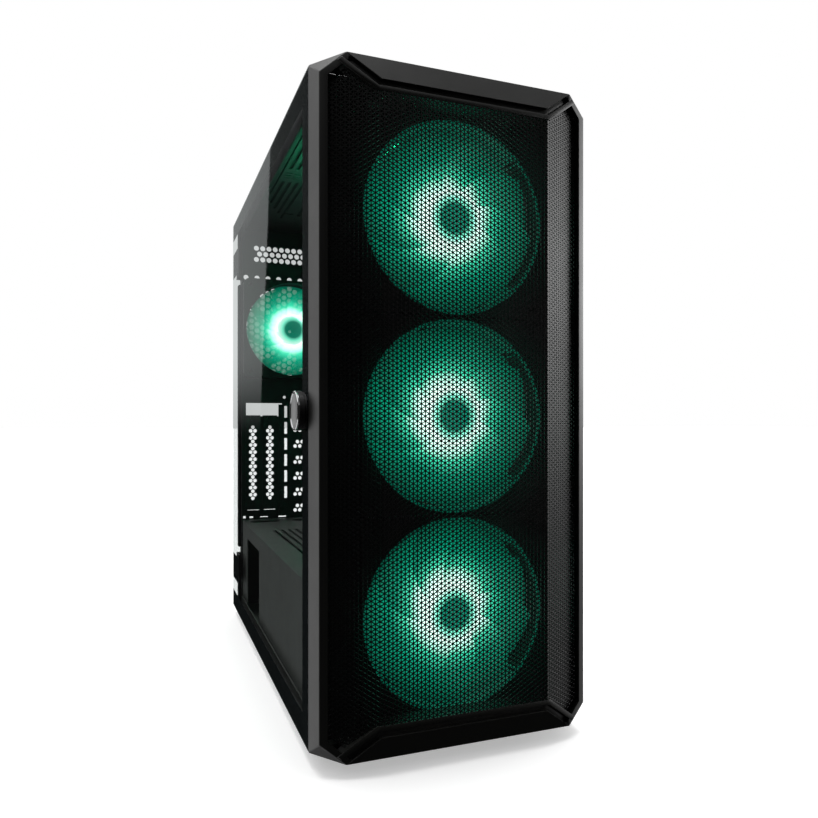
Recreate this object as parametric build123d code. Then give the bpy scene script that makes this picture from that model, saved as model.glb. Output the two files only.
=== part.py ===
"""Desktop computer tower: glass-door tower case with its fans, power supply and main board.

Frame: +Z up, the front faces -Y, the glass door is on the -X side. Millimetres.
The origin is on the floor, under the middle of the outline with the door knob.
"""
import os
from math import radians, sin

from build123d import *

# ---------------------------------------------------------------- driving dimensions
WIDTH = 208.0            # over the glass door and the right side panel
DEPTH = 464.0            # from the front of the mesh to the rear rim
HEIGHT = 480.0           # from the floor to the top of the bezel
FOOT_HEIGHT = 8.0
SHEET = 1.0              # folded steel sheet
GAP = 0.3                # clearance between pieces that move apart

GLASS_THICK = 4.0
GLASS_LENGTH = 426.0
DOOR_GAP = 3.5           # between the glass and the left of the chassis

BEZEL_DEPTH = 30.9       # from the glass edge to the crest of the visors
RAIL_SETBACK = 7.0       # the side rails stand this far behind the crest
MESH_PROUD = 5.7         # the centre of the mesh stands this far before the crest
FOLD_X = 63.0            # the two vertical folds of the mesh
MESH_FALL = 15.6         # how far the side strips of the mesh fall back
BEZEL_WALL = 3.0
RAIL_WIDE = 5.4          # front face of a side rail
MOUTH_EDGE = 6.5         # the opening of the bezel starts this far from its top and bottom
CORNER_CUT_X = 17.0
CORNER_CUT_Z = 13.0
DRAFT_SIDE = 1.8
DRAFT_TOP = 2.1
VISOR_TALL = 17.0        # sloped face of a visor
VISOR_STEP = 4.2         # dark step under it

FRONT_FAN = 140.0
FRONT_FAN_PITCH = 142.5
FRONT_FAN_MID_Z = 239.5
FRONT_FAN_SCREWS = 124.5
REAR_FAN = 120.0
REAR_FAN_X = -35.5
REAR_FAN_Z = 350.0
REAR_FAN_SCREWS = 105.0
FAN_DEPTH = 25.0
SHAFT_R = 2.0
RUNNING_FIT = 0.05

SLOT_PITCH = 20.32
SLOT_COUNT = 7
SLOT_LOW_Z = 126.6
SLOT_X0, SLOT_X1 = -41.0, 62.0
SLOT_TALL = 13.0
COVER_TALL = 18.4
COVER_THICK = 0.9
SCREW_R = 1.6
SCREW_HOLE_R = 1.65
UPRIGHT_SLOTS_X = (-81.3, -60.2)
UPRIGHT_Z0, UPRIGHT_Z1 = 131.0, 236.0

SHROUD_TOP = 114.5
PSU_X0, PSU_WIDE, PSU_TALL, PSU_LONG = -62.0, 150.0, 86.0, 140.0
PSU_Z0 = 13.0

BOARD_WIDE, BOARD_TALL, BOARD_THICK = 244.0, 305.0, 1.6
BOARD_Z0 = 118.0
TRAY_X = 80.0
STANDOFF = 6.5
IO_WIDE, IO_TALL = 44.4, 158.8
IO_Z0 = 262.0

KNOB_R = 14.0
KNOB_PROUD = 7.0
KNOB_INSET = 15.5        # from the front edge of the glass
HINGE_TALL = 30.0
HINGE_FROM_TOP = 52.0    # middle of the upper hinge under the top of the glass
HINGE_FROM_BOTTOM = 50.5
HINGE_R = 2.4
PIN_R = 1.25
HINGE_X = -97.0
HINGE_Y = 226.5

BUTTON_TRAVEL = 1.0

RAIL_TALL = 14.0         # folded sides of the tray, the ceiling and the rear wall
CORNER_NOTCH = 9.0       # the rear rims stop short of the swinging glass
INTAKE = 96.0            # square air intake under the power supply
FILTER_WIDE, FILTER_LONG, FILTER_THICK = 114.0, 138.0, 3.0
FILTER_RIM = 8.0
TOP_FAN_Y = (-78.0, 88.0)
TOP_VENT = (118.0, 4.5)  # length and width of a long air slot
TOP_VENT_PITCH = 8.0
FAN_SLOT_LONG, FAN_SLOT_R = 12.0, 2.2

IO_BAR_LONG = 150.0
IO_BAR_Y0, IO_BAR_Y1 = -182.0, -160.0
IO_BAR_PROUD = 3.2
POWER_X, RESET_X = -58.0, -40.0
POWER_R, RESET_R = 6.5, 3.0
BUTTON_PLAY = 0.25
USB_XS = (-18.0, 2.0)
USB_C_X = 20.0
JACK_XS = (36.0, 50.0)
USB_A = (14.4, 6.8)
USB_C = (9.6, 3.8)
JACK_R, JACK_BODY_R = 1.8, 4.0
SOCKET_DEEP = 12.0       # sockets reach this far under the ceiling

GROMMET_Y = -70.0
GROMMET_ZS = (170.0, 270.0, 370.0)
GROMMET = (70.0, 26.0)
SHROUD_Y0 = -150.0
SHROUD_WINDOW = (77.0, 164.0)
CAGE_X0, CAGE_X1, CAGE_Y0, CAGE_Y1, CAGE_TOP = -60.0, 90.0, -145.0, -38.0, 100.0
DRIVE_ZS = (22.0, 62.0)
DRIVE_THICK = 26.1
SMALL_DRIVE = (-20.0, 50.0, -120.0, -20.0, 7.0)

INLET_X, SWITCH_X, INLET_Z = 56.0, 24.0, 40.0
PSU_FAN_R = 56.0
BOARD_HOLES = [(dy, dz) for dy in (10.16, 165.1, 237.49) for dz in (6.35, 130.81, 288.29)]
CPU_FAN, CPU_FAN_DEPTH, CPU_FAN_SCREWS = 92.0, 15.0, 82.5
HEATSINK_TALL, FIN_PITCH = 36.0, 4.8
MEMORY_YS = (44.0, 28.0)
CPU_Y, CPU_Z = 140.0, 350.0

MAGNET_ZS = (60.0, 420.0)
THUMB_ZS = (110.0, 440.0)
TOP_FILTER_X = 92.0
TOP_FILTER_Y0, TOP_FILTER_Y1 = -150.0, 160.0
TOP_FILTER_RIM, TOP_FILTER_THICK = 9.0, 2.4
FOOT_X, FOOT_YS, FOOT_R = 85.5, (-150.0, 196.0), 13.0
PAD_THICK = 2.0

# ---------------------------------------------------------------- places worked out from them
X_L, X_R = -WIDTH / 2, WIDTH / 2
Y_F, Y_B = -DEPTH / 2, DEPTH / 2
Z_B, Z_T = FOOT_HEIGHT, HEIGHT
CREST_Y = Y_F + MESH_PROUD
RAIL_Y = CREST_Y + RAIL_SETBACK
SEAM_Y = CREST_Y + BEZEL_DEPTH                  # bezel meets glass
FRAME_XL = X_L + GLASS_THICK + DOOR_GAP         # left face of the chassis
FRAME_XR = X_R - SHEET - SHEET                  # right face of the chassis
FLOOR_Z = Z_B + SHEET                           # under face of the bottom tray
CEILING_Z = Z_T - 4.0                           # under face of the top panel
WALL_Y = 219.6                                  # inner face of the rear wall
FRONT_WALL_Y = SEAM_Y + 10.4                    # front face of the fan rails
FAN_FACE_Y = FRONT_WALL_Y - FAN_DEPTH
BOARD_X = TRAY_X - STANDOFF                     # back of the board
BOARD_Y1 = WALL_Y - 1.6
SLOTS_Z = [SLOT_LOW_Z + SLOT_PITCH * i for i in range(SLOT_COUNT)]
FAN_ZS = [FRONT_FAN_MID_Z + FRONT_FAN_PITCH * i for i in (-1, 0, 1)]
PSU_MID_X = PSU_X0 + PSU_WIDE / 2
PSU_MID_Y = WALL_Y - PSU_LONG / 2
FLANGE_SPANS = [(SEAM_Y + GAP, FRONT_WALL_Y), (FRONT_WALL_Y + SHEET, WALL_Y)]
FILTER_Z0 = FLOOR_Z - GAP - FILTER_THICK
IO_BAR_Z1 = CEILING_Z + IO_BAR_PROUD
IO_BAR_MID_Y = (IO_BAR_Y0 + IO_BAR_Y1) / 2
BOARD_FACE = BOARD_X - BOARD_THICK
KNOB_Y = SEAM_Y + KNOB_INSET
KNOB_Z = (Z_B + Z_T) / 2 - 1.0
HINGE_ZS = (Z_B + HINGE_FROM_BOTTOM, Z_T - HINGE_FROM_TOP)
RAIL_X = X_R - DRAFT_SIDE                       # outer edge of a side rail
CUT_X = RAIL_X - CORNER_CUT_X                   # end of the crest
RAIL_Z0, RAIL_Z1 = Z_B + DRAFT_TOP + CORNER_CUT_Z, Z_T - DRAFT_TOP - CORNER_CUT_Z
MESH_EDGE_X = RAIL_X - RAIL_WIDE
MESH_EDGE_Y = Y_F + MESH_FALL
LIP_Z1 = Z_T - DRAFT_TOP - VISOR_TALL - VISOR_STEP      # upper edge of the top lip
LIP_Z0 = Z_B + DRAFT_TOP + VISOR_TALL + VISOR_STEP
THUMB_X = FRAME_XR - 7.0
FOLD_Y = Y_B - 8.0                              # the side panel folds in over the rear rim here
FOOT_SPOTS = [(side * FOOT_X, y) for side in (-1, 1) for y in FOOT_YS]
ORIGIN_X = KNOB_PROUD / 2                       # the knob widens the outline on the left

os.makedirs("parts", exist_ok=True)


# ---------------------------------------------------------------- shape helpers
def block(x0, x1, y0, y1, z0, z1):
    """A box between two corners."""
    return Pos((x0 + x1) / 2, (y0 + y1) / 2, (z0 + z1) / 2) * Box(x1 - x0, y1 - y0, z1 - z0)


def rod_x(radius, x0, x1, y, z):
    """A round rod along X."""
    return Pos((x0 + x1) / 2, y, z) * Rot(0, 90, 0) * Cylinder(radius, x1 - x0)


def rod_y(radius, y0, y1, x, z):
    """A round rod along Y."""
    return Pos(x, (y0 + y1) / 2, z) * Rot(90, 0, 0) * Cylinder(radius, y1 - y0)


def rod_z(radius, z0, z1, x, y):
    """A round rod along Z."""
    return Pos(x, y, (z0 + z1) / 2) * Cylinder(radius, z1 - z0)


def slab(width, height, thick, corner):
    """A plate with round corners, centred, its thickness along Z."""
    return extrude(RectangleRounded(width, height, corner), thick / 2, both=True)


def hull_of(points, faces):
    """A closed solid from its corner points and the faces that join them."""
    skins = [Face(Wire.make_polygon([points[i] for i in ring])) for ring in faces]
    return Solid(Shell(skins))


def save(node, *shapes):
    """Write one node, moved to the part's origin."""
    solids = []
    for shape in shapes:
        solids.extend(shape.solids())
    placed = [s.moved(Location((ORIGIN_X, 0, 0))) for s in solids]
    export_step(placed[0] if len(placed) == 1 else Compound(placed), f"parts/{node}.step")


# ---------------------------------------------------------------- chassis sheet metal
def bottom_tray():
    """Floor with folded sides, the air intake and two runners for its filter."""
    tray = block(FRAME_XL, FRAME_XR, SEAM_Y + GAP, WALL_Y + SHEET, FLOOR_Z, FLOOR_Z + SHEET)
    tray += block(FRAME_XL + CORNER_NOTCH, FRAME_XR, WALL_Y, Y_B - 1, FLOOR_Z, FLOOR_Z + SHEET)
    low, high = FLOOR_Z + SHEET, FLOOR_Z + RAIL_TALL
    for y0, y1 in FLANGE_SPANS:
        tray += block(FRAME_XL, FRAME_XL + SHEET, y0, y1, low - SHEET, high)
        tray += block(FRAME_XR - SHEET, FRAME_XR, y0, y1, low - SHEET, high)
    half = INTAKE / 2
    tray -= block(PSU_MID_X - half, PSU_MID_X + half, PSU_MID_Y - half, PSU_MID_Y + half, 0, low + 1)
    for side in (-1, 1):
        inner = PSU_MID_X + side * (FILTER_WIDE / 2 + GAP)
        outer = inner + side * SHEET
        shelf = inner - side * 2.0
        y0, y1 = PSU_MID_Y - FILTER_LONG / 2, PSU_MID_Y + FILTER_LONG / 2 - 4
        tray += block(min(inner, outer), max(inner, outer), y0, y1, FILTER_Z0 - GAP - SHEET, FLOOR_Z)
        low_z = FILTER_Z0 - GAP
        tray += block(min(shelf, outer), max(shelf, outer), y0, y1, low_z - SHEET, low_z)
    return tray


def psu_filter():
    """Slide-out dust filter under the power supply: frame, fine screen and pull tab."""
    y0, y1 = PSU_MID_Y - FILTER_LONG / 2, PSU_MID_Y + FILTER_LONG / 2
    x0, x1 = PSU_MID_X - FILTER_WIDE / 2, PSU_MID_X + FILTER_WIDE / 2
    z0, z1 = FILTER_Z0, FILTER_Z0 + FILTER_THICK
    inner = (x0 + FILTER_RIM, x1 - FILTER_RIM, y0 + FILTER_RIM, y1 - FILTER_RIM)
    frame = block(x0, x1, y0, y1, z0, z1) - block(*inner, z0 - 1, z1 + 1)
    screen = block(*inner, z0 + 1.2, z0 + 1.8)
    tab = block(PSU_MID_X - 20, PSU_MID_X + 20, y1, y1 + 8, z0, z1)
    return frame + screen + tab


def top_panel():
    """Ceiling with folded sides, long air slots, fan fixing slots and the port cut-out."""
    z0, z1 = CEILING_Z, CEILING_Z + SHEET
    panel = block(FRAME_XL, FRAME_XR, SEAM_Y + GAP, WALL_Y + SHEET, z0, z1)
    panel += block(FRAME_XL + CORNER_NOTCH, FRAME_XR, WALL_Y, Y_B - 1, z0, z1)
    for y0, y1 in FLANGE_SPANS:
        panel += block(FRAME_XL, FRAME_XL + SHEET, y0, y1, z0 - RAIL_TALL, z1)
        panel += block(FRAME_XR - SHEET, FRAME_XR, y0, y1, z0 - RAIL_TALL, z1)
    cuts = []
    for fan_y in TOP_FAN_Y:
        for i in range(-5, 6):
            cuts.append(Pos(i * TOP_VENT_PITCH, fan_y, z0) * extrude(SlotOverall(*TOP_VENT, rotation=90), 4, both=True))
        for sx in (-1, 1):
            for sy in (-1, 1):
                spot = Pos(sx * REAR_FAN_SCREWS / 2, fan_y + sy * REAR_FAN_SCREWS / 2, z0)
                cuts.append(spot * extrude(SlotOverall(FAN_SLOT_LONG, 2 * FAN_SLOT_R), 4, both=True))
    cuts.append(block(-IO_BAR_LONG / 2 + 4, IO_BAR_LONG / 2 - 4, IO_BAR_Y0 + 3, IO_BAR_Y1 - 3, z0 - 1, z1 + 1))
    return panel - cuts


def io_bar():
    """Port and button strip on the top panel."""
    bar = Pos(0, IO_BAR_MID_Y, (CEILING_Z + SHEET + IO_BAR_Z1) / 2) * slab(
        IO_BAR_LONG, IO_BAR_Y1 - IO_BAR_Y0, IO_BAR_Z1 - CEILING_Z - SHEET, 4)
    well = block(-IO_BAR_LONG / 2 + 4.3, IO_BAR_LONG / 2 - 4.3, IO_BAR_Y0 + 3.3, IO_BAR_Y1 - 3.3,
                 CEILING_Z - 3, CEILING_Z + SHEET)
    bar += well
    cuts = [rod_z(radius + BUTTON_PLAY, 400, 500, x, IO_BAR_MID_Y)
            for radius, x in ((POWER_R, POWER_X), (RESET_R, RESET_X))]
    for x in USB_XS:
        cuts.append(block(x - USB_A[0] / 2, x + USB_A[0] / 2, IO_BAR_MID_Y - USB_A[1] / 2, IO_BAR_MID_Y + USB_A[1] / 2, 400, 500))
    cuts.append(block(USB_C_X - USB_C[0] / 2, USB_C_X + USB_C[0] / 2, IO_BAR_MID_Y - USB_C[1] / 2, IO_BAR_MID_Y + USB_C[1] / 2,
                      400, 500))
    cuts.extend(rod_z(JACK_BODY_R, 400, 500, x, IO_BAR_MID_Y) for x in JACK_XS)
    return bar - cuts


def usb_ports():
    """Two wide sockets and one small one, each a metal shell with its tongue."""
    z0, z1 = CEILING_Z - SOCKET_DEEP, IO_BAR_Z1 - 0.2
    ports = []
    for x in USB_XS:
        w, h = USB_A
        shell = block(x - w / 2, x + w / 2, IO_BAR_MID_Y - h / 2, IO_BAR_MID_Y + h / 2, z0, z1)
        shell -= block(x - w / 2 + 0.6, x + w / 2 - 0.6, IO_BAR_MID_Y - h / 2 + 0.6, IO_BAR_MID_Y + h / 2 - 0.6, z0 + 2, z1 + 1)
        shell += block(x - w / 2 + 0.6, x + w / 2 - 0.6, IO_BAR_MID_Y + 0.2, IO_BAR_MID_Y + 2.3, z0 + 2, z1 - 1)
        ports.append(shell)
    w, h = USB_C
    shell = block(USB_C_X - w / 2, USB_C_X + w / 2, IO_BAR_MID_Y - h / 2, IO_BAR_MID_Y + h / 2, z0, z1)
    shell -= block(USB_C_X - w / 2 + 0.4, USB_C_X + w / 2 - 0.4, IO_BAR_MID_Y - h / 2 + 0.4, IO_BAR_MID_Y + h / 2 - 0.4, z0 + 2,
                   z1 + 1)
    shell += block(USB_C_X - w / 2 + 1.2, USB_C_X + w / 2 - 1.2, IO_BAR_MID_Y - 0.4, IO_BAR_MID_Y + 0.4, z0 + 2, z1 - 1)
    ports.append(shell)
    return ports


def audio_jacks():
    """Two round sockets for headphones and microphone."""
    z0, z1 = CEILING_Z - SOCKET_DEEP, IO_BAR_Z1
    return [rod_z(JACK_BODY_R, z0, z1, x, IO_BAR_MID_Y) - rod_z(JACK_R, z0 + 2, z1 + 1, x, IO_BAR_MID_Y) for x in JACK_XS]


def button(x, radius):
    """A push button with a flange that keeps it in the strip."""
    cap = rod_z(radius, CEILING_Z - 4.5, IO_BAR_Z1 + 0.6, x, IO_BAR_MID_Y)
    flange = rod_z(radius + 1.2, CEILING_Z - 4.5, CEILING_Z - 3.2, x, IO_BAR_MID_Y)
    return cap + flange


def fan_holes(x, z, pitch, radius, y0, y1):
    """Four round fixing holes of a fan, through a wall that faces Y."""
    half = pitch / 2
    return [rod_y(radius, y0, y1, x + sx * half, z + sz * half) for sx in (-1, 1) for sz in (-1, 1)]


def rear_panel():
    """Rear wall with folded sides, a rear rim and its cut-outs."""
    y0, y1 = WALL_Y, WALL_Y + SHEET
    low, high = FLOOR_Z + SHEET, CEILING_Z
    wall = block(FRAME_XL, FRAME_XR, y0, y1, low, high)
    wall += block(FRAME_XL, FRAME_XL + SHEET, y0 - 14, y0, FLOOR_Z + RAIL_TALL, CEILING_Z - RAIL_TALL)
    wall += block(FRAME_XR - SHEET, FRAME_XR, y0 - 14, y0, FLOOR_Z + RAIL_TALL, CEILING_Z - RAIL_TALL)
    wall += block(FRAME_XR - SHEET, FRAME_XR, y1, FOLD_Y - GAP, low, high)
    wall += block(FRAME_XR - 14, FRAME_XR, FOLD_Y - GAP - SHEET, FOLD_Y - GAP, low, high)
    cuts = [block(PSU_X0 + 10, PSU_X0 + PSU_WIDE - 10, y0 - 1, y1 + 1, PSU_Z0 + 6, PSU_Z0 + PSU_TALL - 6)]
    io_x1 = BOARD_FACE + 3.8
    cuts.append(block(io_x1 - IO_WIDE, io_x1, y0 - 1, y1 + 1, IO_Z0, IO_Z0 + IO_TALL))
    for z in SLOTS_Z:
        cuts.append(block(SLOT_X0, SLOT_X1, y0 - 1, y1 + 1, z - SLOT_TALL / 2, z + SLOT_TALL / 2))
        cuts.append(rod_y(SCREW_HOLE_R, y0 - 1, y1 + 1, SLOT_X0 - 4.5, z))
    for x in UPRIGHT_SLOTS_X:
        cuts.append(block(x - SLOT_TALL / 2, x + SLOT_TALL / 2, y0 - 1, y1 + 1, UPRIGHT_Z0, UPRIGHT_Z1))
        cuts.append(rod_y(SCREW_HOLE_R, y0 - 1, y1 + 1, x, UPRIGHT_Z1 + 4.5))
    cuts += [rod_y(SCREW_HOLE_R, FOLD_Y - 3, FOLD_Y, THUMB_X, z) for z in THUMB_ZS]
    cuts += fan_holes(REAR_FAN_X, REAR_FAN_Z, REAR_FAN_SCREWS, 2.2, y0 - 1, y1 + 1)
    cuts += [rod_y(SCREW_HOLE_R, y0 - 1, y1 + 1, x, z) for x, z in psu_screw_spots()]
    return wall - cuts


def psu_screw_spots():
    """Where the four screws hold the power supply to the rear wall."""
    x0, x1 = PSU_X0 + 6, PSU_X0 + PSU_WIDE - 6
    return [(x0, PSU_Z0 + 6), (x1, PSU_Z0 + 6), (x0, PSU_Z0 + 70), (x1, PSU_Z0 + 70)]


def fan_rail(side):
    """One upright at the front that the fans are screwed to."""
    y0, y1 = FRONT_WALL_Y, FRONT_WALL_Y + SHEET
    low, high = FLOOR_Z + SHEET, CEILING_Z
    if side < 0:
        rail = block(FRAME_XL, -FRONT_FAN / 2 + 12, y0, y1, low, high)
        rail += block(FRAME_XL, FRAME_XL + SHEET, y1, y1 + 14, FLOOR_Z + RAIL_TALL, CEILING_Z - RAIL_TALL)
        x = -FRONT_FAN_SCREWS / 2
    else:
        rail = block(FRONT_FAN / 2 - 12, FRAME_XR, y0, y1, low, high)
        rail += block(FRAME_XR - SHEET, FRAME_XR, y1, y1 + 14, FLOOR_Z + RAIL_TALL, CEILING_Z - RAIL_TALL)
        x = FRONT_FAN_SCREWS / 2
    holes = [rod_y(2.2, y0 - 1, y1 + 1, x, z + s * FRONT_FAN_SCREWS / 2) for z in FAN_ZS for s in (-1, 1)]
    return rail - holes


def motherboard_tray():
    """Upright plate behind the main board, with three cable slots."""
    tray = block(TRAY_X, TRAY_X + SHEET, FRONT_WALL_Y + SHEET + 16, WALL_Y, SHROUD_TOP, CEILING_Z)
    for z in GROMMET_ZS:
        tray -= Pos(TRAY_X, GROMMET_Y, z) * Rot(0, 90, 0) * extrude(SlotOverall(*GROMMET), 4, both=True)
    return tray


def cable_grommets():
    """Rubber bushes that close the cable slots, each slit along its middle."""
    bushes = []
    for z in GROMMET_ZS:
        spot = Pos(TRAY_X + SHEET / 2, GROMMET_Y, z) * Rot(0, 90, 0)
        bush = spot * extrude(SlotOverall(*GROMMET), SHEET / 2, both=True)
        rim = Pos(TRAY_X - 0.75, GROMMET_Y, z) * Rot(0, 90, 0)
        bush += rim * extrude(SlotOverall(GROMMET[0] + 6, GROMMET[1] + 6), 0.75, both=True)
        bush -= block(TRAY_X - 5, TRAY_X + 5, GROMMET_Y - 0.6, GROMMET_Y + 0.6, z - 30, z + 30)
        bushes.append(bush)
    return bushes


def psu_shroud():
    """Cover over the power supply and drives, open at the rear lower left."""
    low, top = FLOOR_Z + SHEET, SHROUD_TOP
    x0 = FRAME_XL + SHEET
    cover = block(x0, FRAME_XR - SHEET, SHROUD_Y0, WALL_Y, top - SHEET, top)
    cover += block(x0, x0 + SHEET, SHROUD_Y0, WALL_Y, low, top)
    cover -= block(x0 - 1, x0 + 2, SHROUD_WINDOW[0], SHROUD_WINDOW[1], low + 10, top - 15)
    for x in (-70.0, -20.0):
        cover -= Pos(x, 195, top) * extrude(SlotOverall(36, 14), 3, both=True)
    return cover


def drive_cage():
    """Cage for two drives at the front of the shroud."""
    x0, x1, y0, y1 = CAGE_X0, CAGE_X1, CAGE_Y0, CAGE_Y1
    z0, z1 = FLOOR_Z + SHEET, CAGE_TOP
    cage = block(x0, x1, y0, y0 + SHEET, z0, z1) + block(x0, x1, y1 - SHEET, y1, z0, z1)
    cage += block(x0, x1, y0, y1, z1 - SHEET, z1)
    for z in DRIVE_ZS:
        for y, s in ((y0 + SHEET, 1), (y1 - SHEET, -1)):
            cage += block(x0, x1, min(y, y + 3 * s), max(y, y + 3 * s), z - 4 - SHEET, z - 4)
    return cage


def drive_trays():
    """Two pull-out trays that carry the drives."""
    trays = []
    y0, y1 = CAGE_Y0 + SHEET + GAP, CAGE_Y1 - SHEET - GAP
    for z in DRIVE_ZS:
        tray = block(CAGE_X0 + 4, CAGE_X1 - 2, y0, y1, z - 3.8, z - 2)
        tray += block(CAGE_X1 - 2, CAGE_X1 + 1, y0, y1, z - 3.8, z + 28)
        trays.append(tray)
    return trays


def hard_drive():
    """A 3.5 inch drive on the lower tray."""
    z = DRIVE_ZS[0] - 2
    box = block(CAGE_X0 + 1, CAGE_X1 - 3.1, CAGE_Y0 + 2.7, CAGE_Y1 - 2.7, z, z + DRIVE_THICK)
    return fillet(box.edges().filter_by(Axis.Z), 2)


def solid_state_drive():
    """A 2.5 inch drive flat on top of the shroud."""
    x0, x1, y0, y1, thick = SMALL_DRIVE
    return fillet(block(x0, x1, y0, y1, SHROUD_TOP, SHROUD_TOP + thick).edges().filter_by(Axis.Z), 3)


# ---------------------------------------------------------------- fans
def fan_frame(size, depth, pitch, hub_r, struts=4):
    """Square fan frame on its axis Z, motor cup on struts at the +Z face."""
    bore = size / 2 - 3.0
    frame = slab(size, size, depth, size * 0.06) - Cylinder(bore, depth + 2)
    half = pitch / 2
    frame -= [Pos(sx * half, sy * half, 0) * Cylinder(2.2, depth + 2) for sx in (-1, 1) for sy in (-1, 1)]
    cup_z = depth / 2 - 1.5
    cup = Pos(0, 0, cup_z) * Cylinder(hub_r, 3.0)
    for i in range(struts):
        strut = Pos((bore + hub_r) / 2, 0, cup_z) * Box(bore - hub_r + 2, 3.2, 3.0)
        cup += Rot(0, 0, 360 / struts * i + 30) * strut
    cup -= Pos(0, 0, cup_z) * Cylinder(SHAFT_R + RUNNING_FIT, 8)
    return frame + cup


def fan_rotor(size, depth, hub_r, blades, pitch_deg=38.0):
    """Impeller on its axis Z: hub, shaft into the cup and set blades."""
    tip = size / 2 - 4.5
    z0, z1 = -depth / 2 + 1.5, depth / 2 - 3.5
    rotor = Pos(0, 0, (z0 + z1) / 2) * Cylinder(hub_r, z1 - z0)
    for i in range(blades):
        chord = (z1 - z0) / sin(radians(pitch_deg)) - 3
        blade = Pos((tip + hub_r) / 2 - 1, 0, 0) * Rot(90 - pitch_deg, 0, 0) * Box(tip - hub_r + 2, 1.6, chord)
        rotor += Rot(0, 0, 360 / blades * i) * Pos(0, 0, (z0 + z1) / 2) * blade
    envelope = Pos(0, 0, (z0 + z1) / 2) * Cylinder(tip, z1 - z0)
    rotor = rotor & envelope
    return rotor + Pos(0, 0, depth / 2 - 2.5) * Cylinder(SHAFT_R, 4.0)


def along_y(x, y, z):
    """Stand a fan up so that its cup faces +Y."""
    return Pos(x, y, z) * Rot(-90, 0, 0)


def fan_screws():
    """Screws that hold the front and rear fans."""
    screws = []
    for z in FAN_ZS:
        half = FRONT_FAN_SCREWS / 2
        for sx in (-1, 1):
            for sz in (-1, 1):
                x, zz = sx * half, z + sz * half
                head = rod_y(4.0, FRONT_WALL_Y + SHEET, FRONT_WALL_Y + SHEET + 2, x, zz)
                screws.append(head + rod_y(2.1, FRONT_WALL_Y - 8, FRONT_WALL_Y + SHEET, x, zz))
    half = REAR_FAN_SCREWS / 2
    for sx in (-1, 1):
        for sz in (-1, 1):
            x, zz = REAR_FAN_X + sx * half, REAR_FAN_Z + sz * half
            head = rod_y(4.0, WALL_Y + SHEET, WALL_Y + SHEET + 2, x, zz)
            screws.append(head + rod_y(2.1, WALL_Y - 8, WALL_Y + SHEET, x, zz))
    return screws


# ---------------------------------------------------------------- expansion slot covers
def slot_covers():
    """Seven covers for the level slots."""
    return [block(SLOT_X0 - 8.5, SLOT_X1 + 3, WALL_Y - COVER_THICK, WALL_Y, z - COVER_TALL / 2, z + COVER_TALL / 2)
            - rod_y(SCREW_HOLE_R, WALL_Y - 2, WALL_Y + 1, SLOT_X0 - 4.5, z) for z in SLOTS_Z]


def upright_slot_covers():
    """Two covers for the upright slots."""
    z0, z1 = UPRIGHT_Z0 - 4, UPRIGHT_Z1 + 8
    return [block(x - COVER_TALL / 2, x + COVER_TALL / 2, WALL_Y - COVER_THICK, WALL_Y, z0, z1)
            - rod_y(SCREW_HOLE_R, WALL_Y - 2, WALL_Y + 1, x, UPRIGHT_Z1 + 4.5) for x in UPRIGHT_SLOTS_X]


def case_screws():
    """Equal screws for the slot covers, the power supply and the main board."""
    spots = [(SLOT_X0 - 4.5, z) for z in SLOTS_Z] + [(x, UPRIGHT_Z1 + 4.5) for x in UPRIGHT_SLOTS_X]
    inside, outside = WALL_Y - COVER_THICK, WALL_Y + SHEET
    screws = [rod_y(3.2, inside - 2, inside, x, z) + rod_y(SCREW_R, inside, outside + 1, x, z) for x, z in spots]
    screws += [rod_y(3.2, outside, outside + 2, x, z) + rod_y(SCREW_R, outside - 3.9, outside, x, z)
               for x, z in psu_screw_spots()]
    for dy, dz in BOARD_HOLES:
        y, z = BOARD_Y1 - dy, BOARD_Z0 + dz
        screws.append(rod_x(3.2, BOARD_FACE - 2, BOARD_FACE, y, z) + rod_x(SCREW_R, BOARD_FACE, BOARD_X, y, z))
    return screws


# ---------------------------------------------------------------- power supply
def psu_housing():
    """Power supply box with its fan opening underneath and an inlet cut-out at the rear."""
    x0, x1 = PSU_X0, PSU_X0 + PSU_WIDE
    y0, y1 = WALL_Y - PSU_LONG, WALL_Y
    z0, z1 = PSU_Z0, PSU_Z0 + PSU_TALL
    box = block(x0, x1, y0, y1, z0, z1) - block(x0 + 1.2, x1 - 1.2, y0 + 1.2, y1 - 1.2, z0 + 1.2, z1 - 1.2)
    box -= rod_z(60.0, z0 - 1, z0 + 3, PSU_MID_X, PSU_MID_Y)
    box += rod_z(22.0, z0, z0 + 1.2, PSU_MID_X, PSU_MID_Y)
    for angle in range(0, 180, 45):
        bar = block(-61, 61, -1, 1, z0, z0 + 1.2)
        box += Pos(PSU_MID_X, PSU_MID_Y, 0) * Rot(0, 0, angle) * bar
    box -= rod_z(SHAFT_R + RUNNING_FIT, z0 - 1, z0 + 3, PSU_MID_X, PSU_MID_Y)
    box -= block(INLET_X - 13.5, INLET_X + 13.5, y1 - 2, y1 + 1, INLET_Z - 10, INLET_Z + 10)
    well = block(SWITCH_X - 9.5, SWITCH_X + 9.5, y1 - 12, y1, INLET_Z - 6.5, INLET_Z + 6.5)
    well -= block(SWITCH_X - 8.3, SWITCH_X + 8.3, y1 - 11, y1 + 1, INLET_Z - 5.3, INLET_Z + 5.3)
    well -= rod_z(1.0 + RUNNING_FIT, INLET_Z - 7, INLET_Z + 7, SWITCH_X, y1 - 4)
    box -= block(SWITCH_X - 9.5, SWITCH_X + 9.5, y1 - 2, y1 + 1, INLET_Z - 6.5, INLET_Z + 6.5)
    box += well
    box -= [rod_y(SCREW_HOLE_R, y1 - 3, y1 + 1, x, z) for x, z in psu_screw_spots()]
    return box


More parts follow.
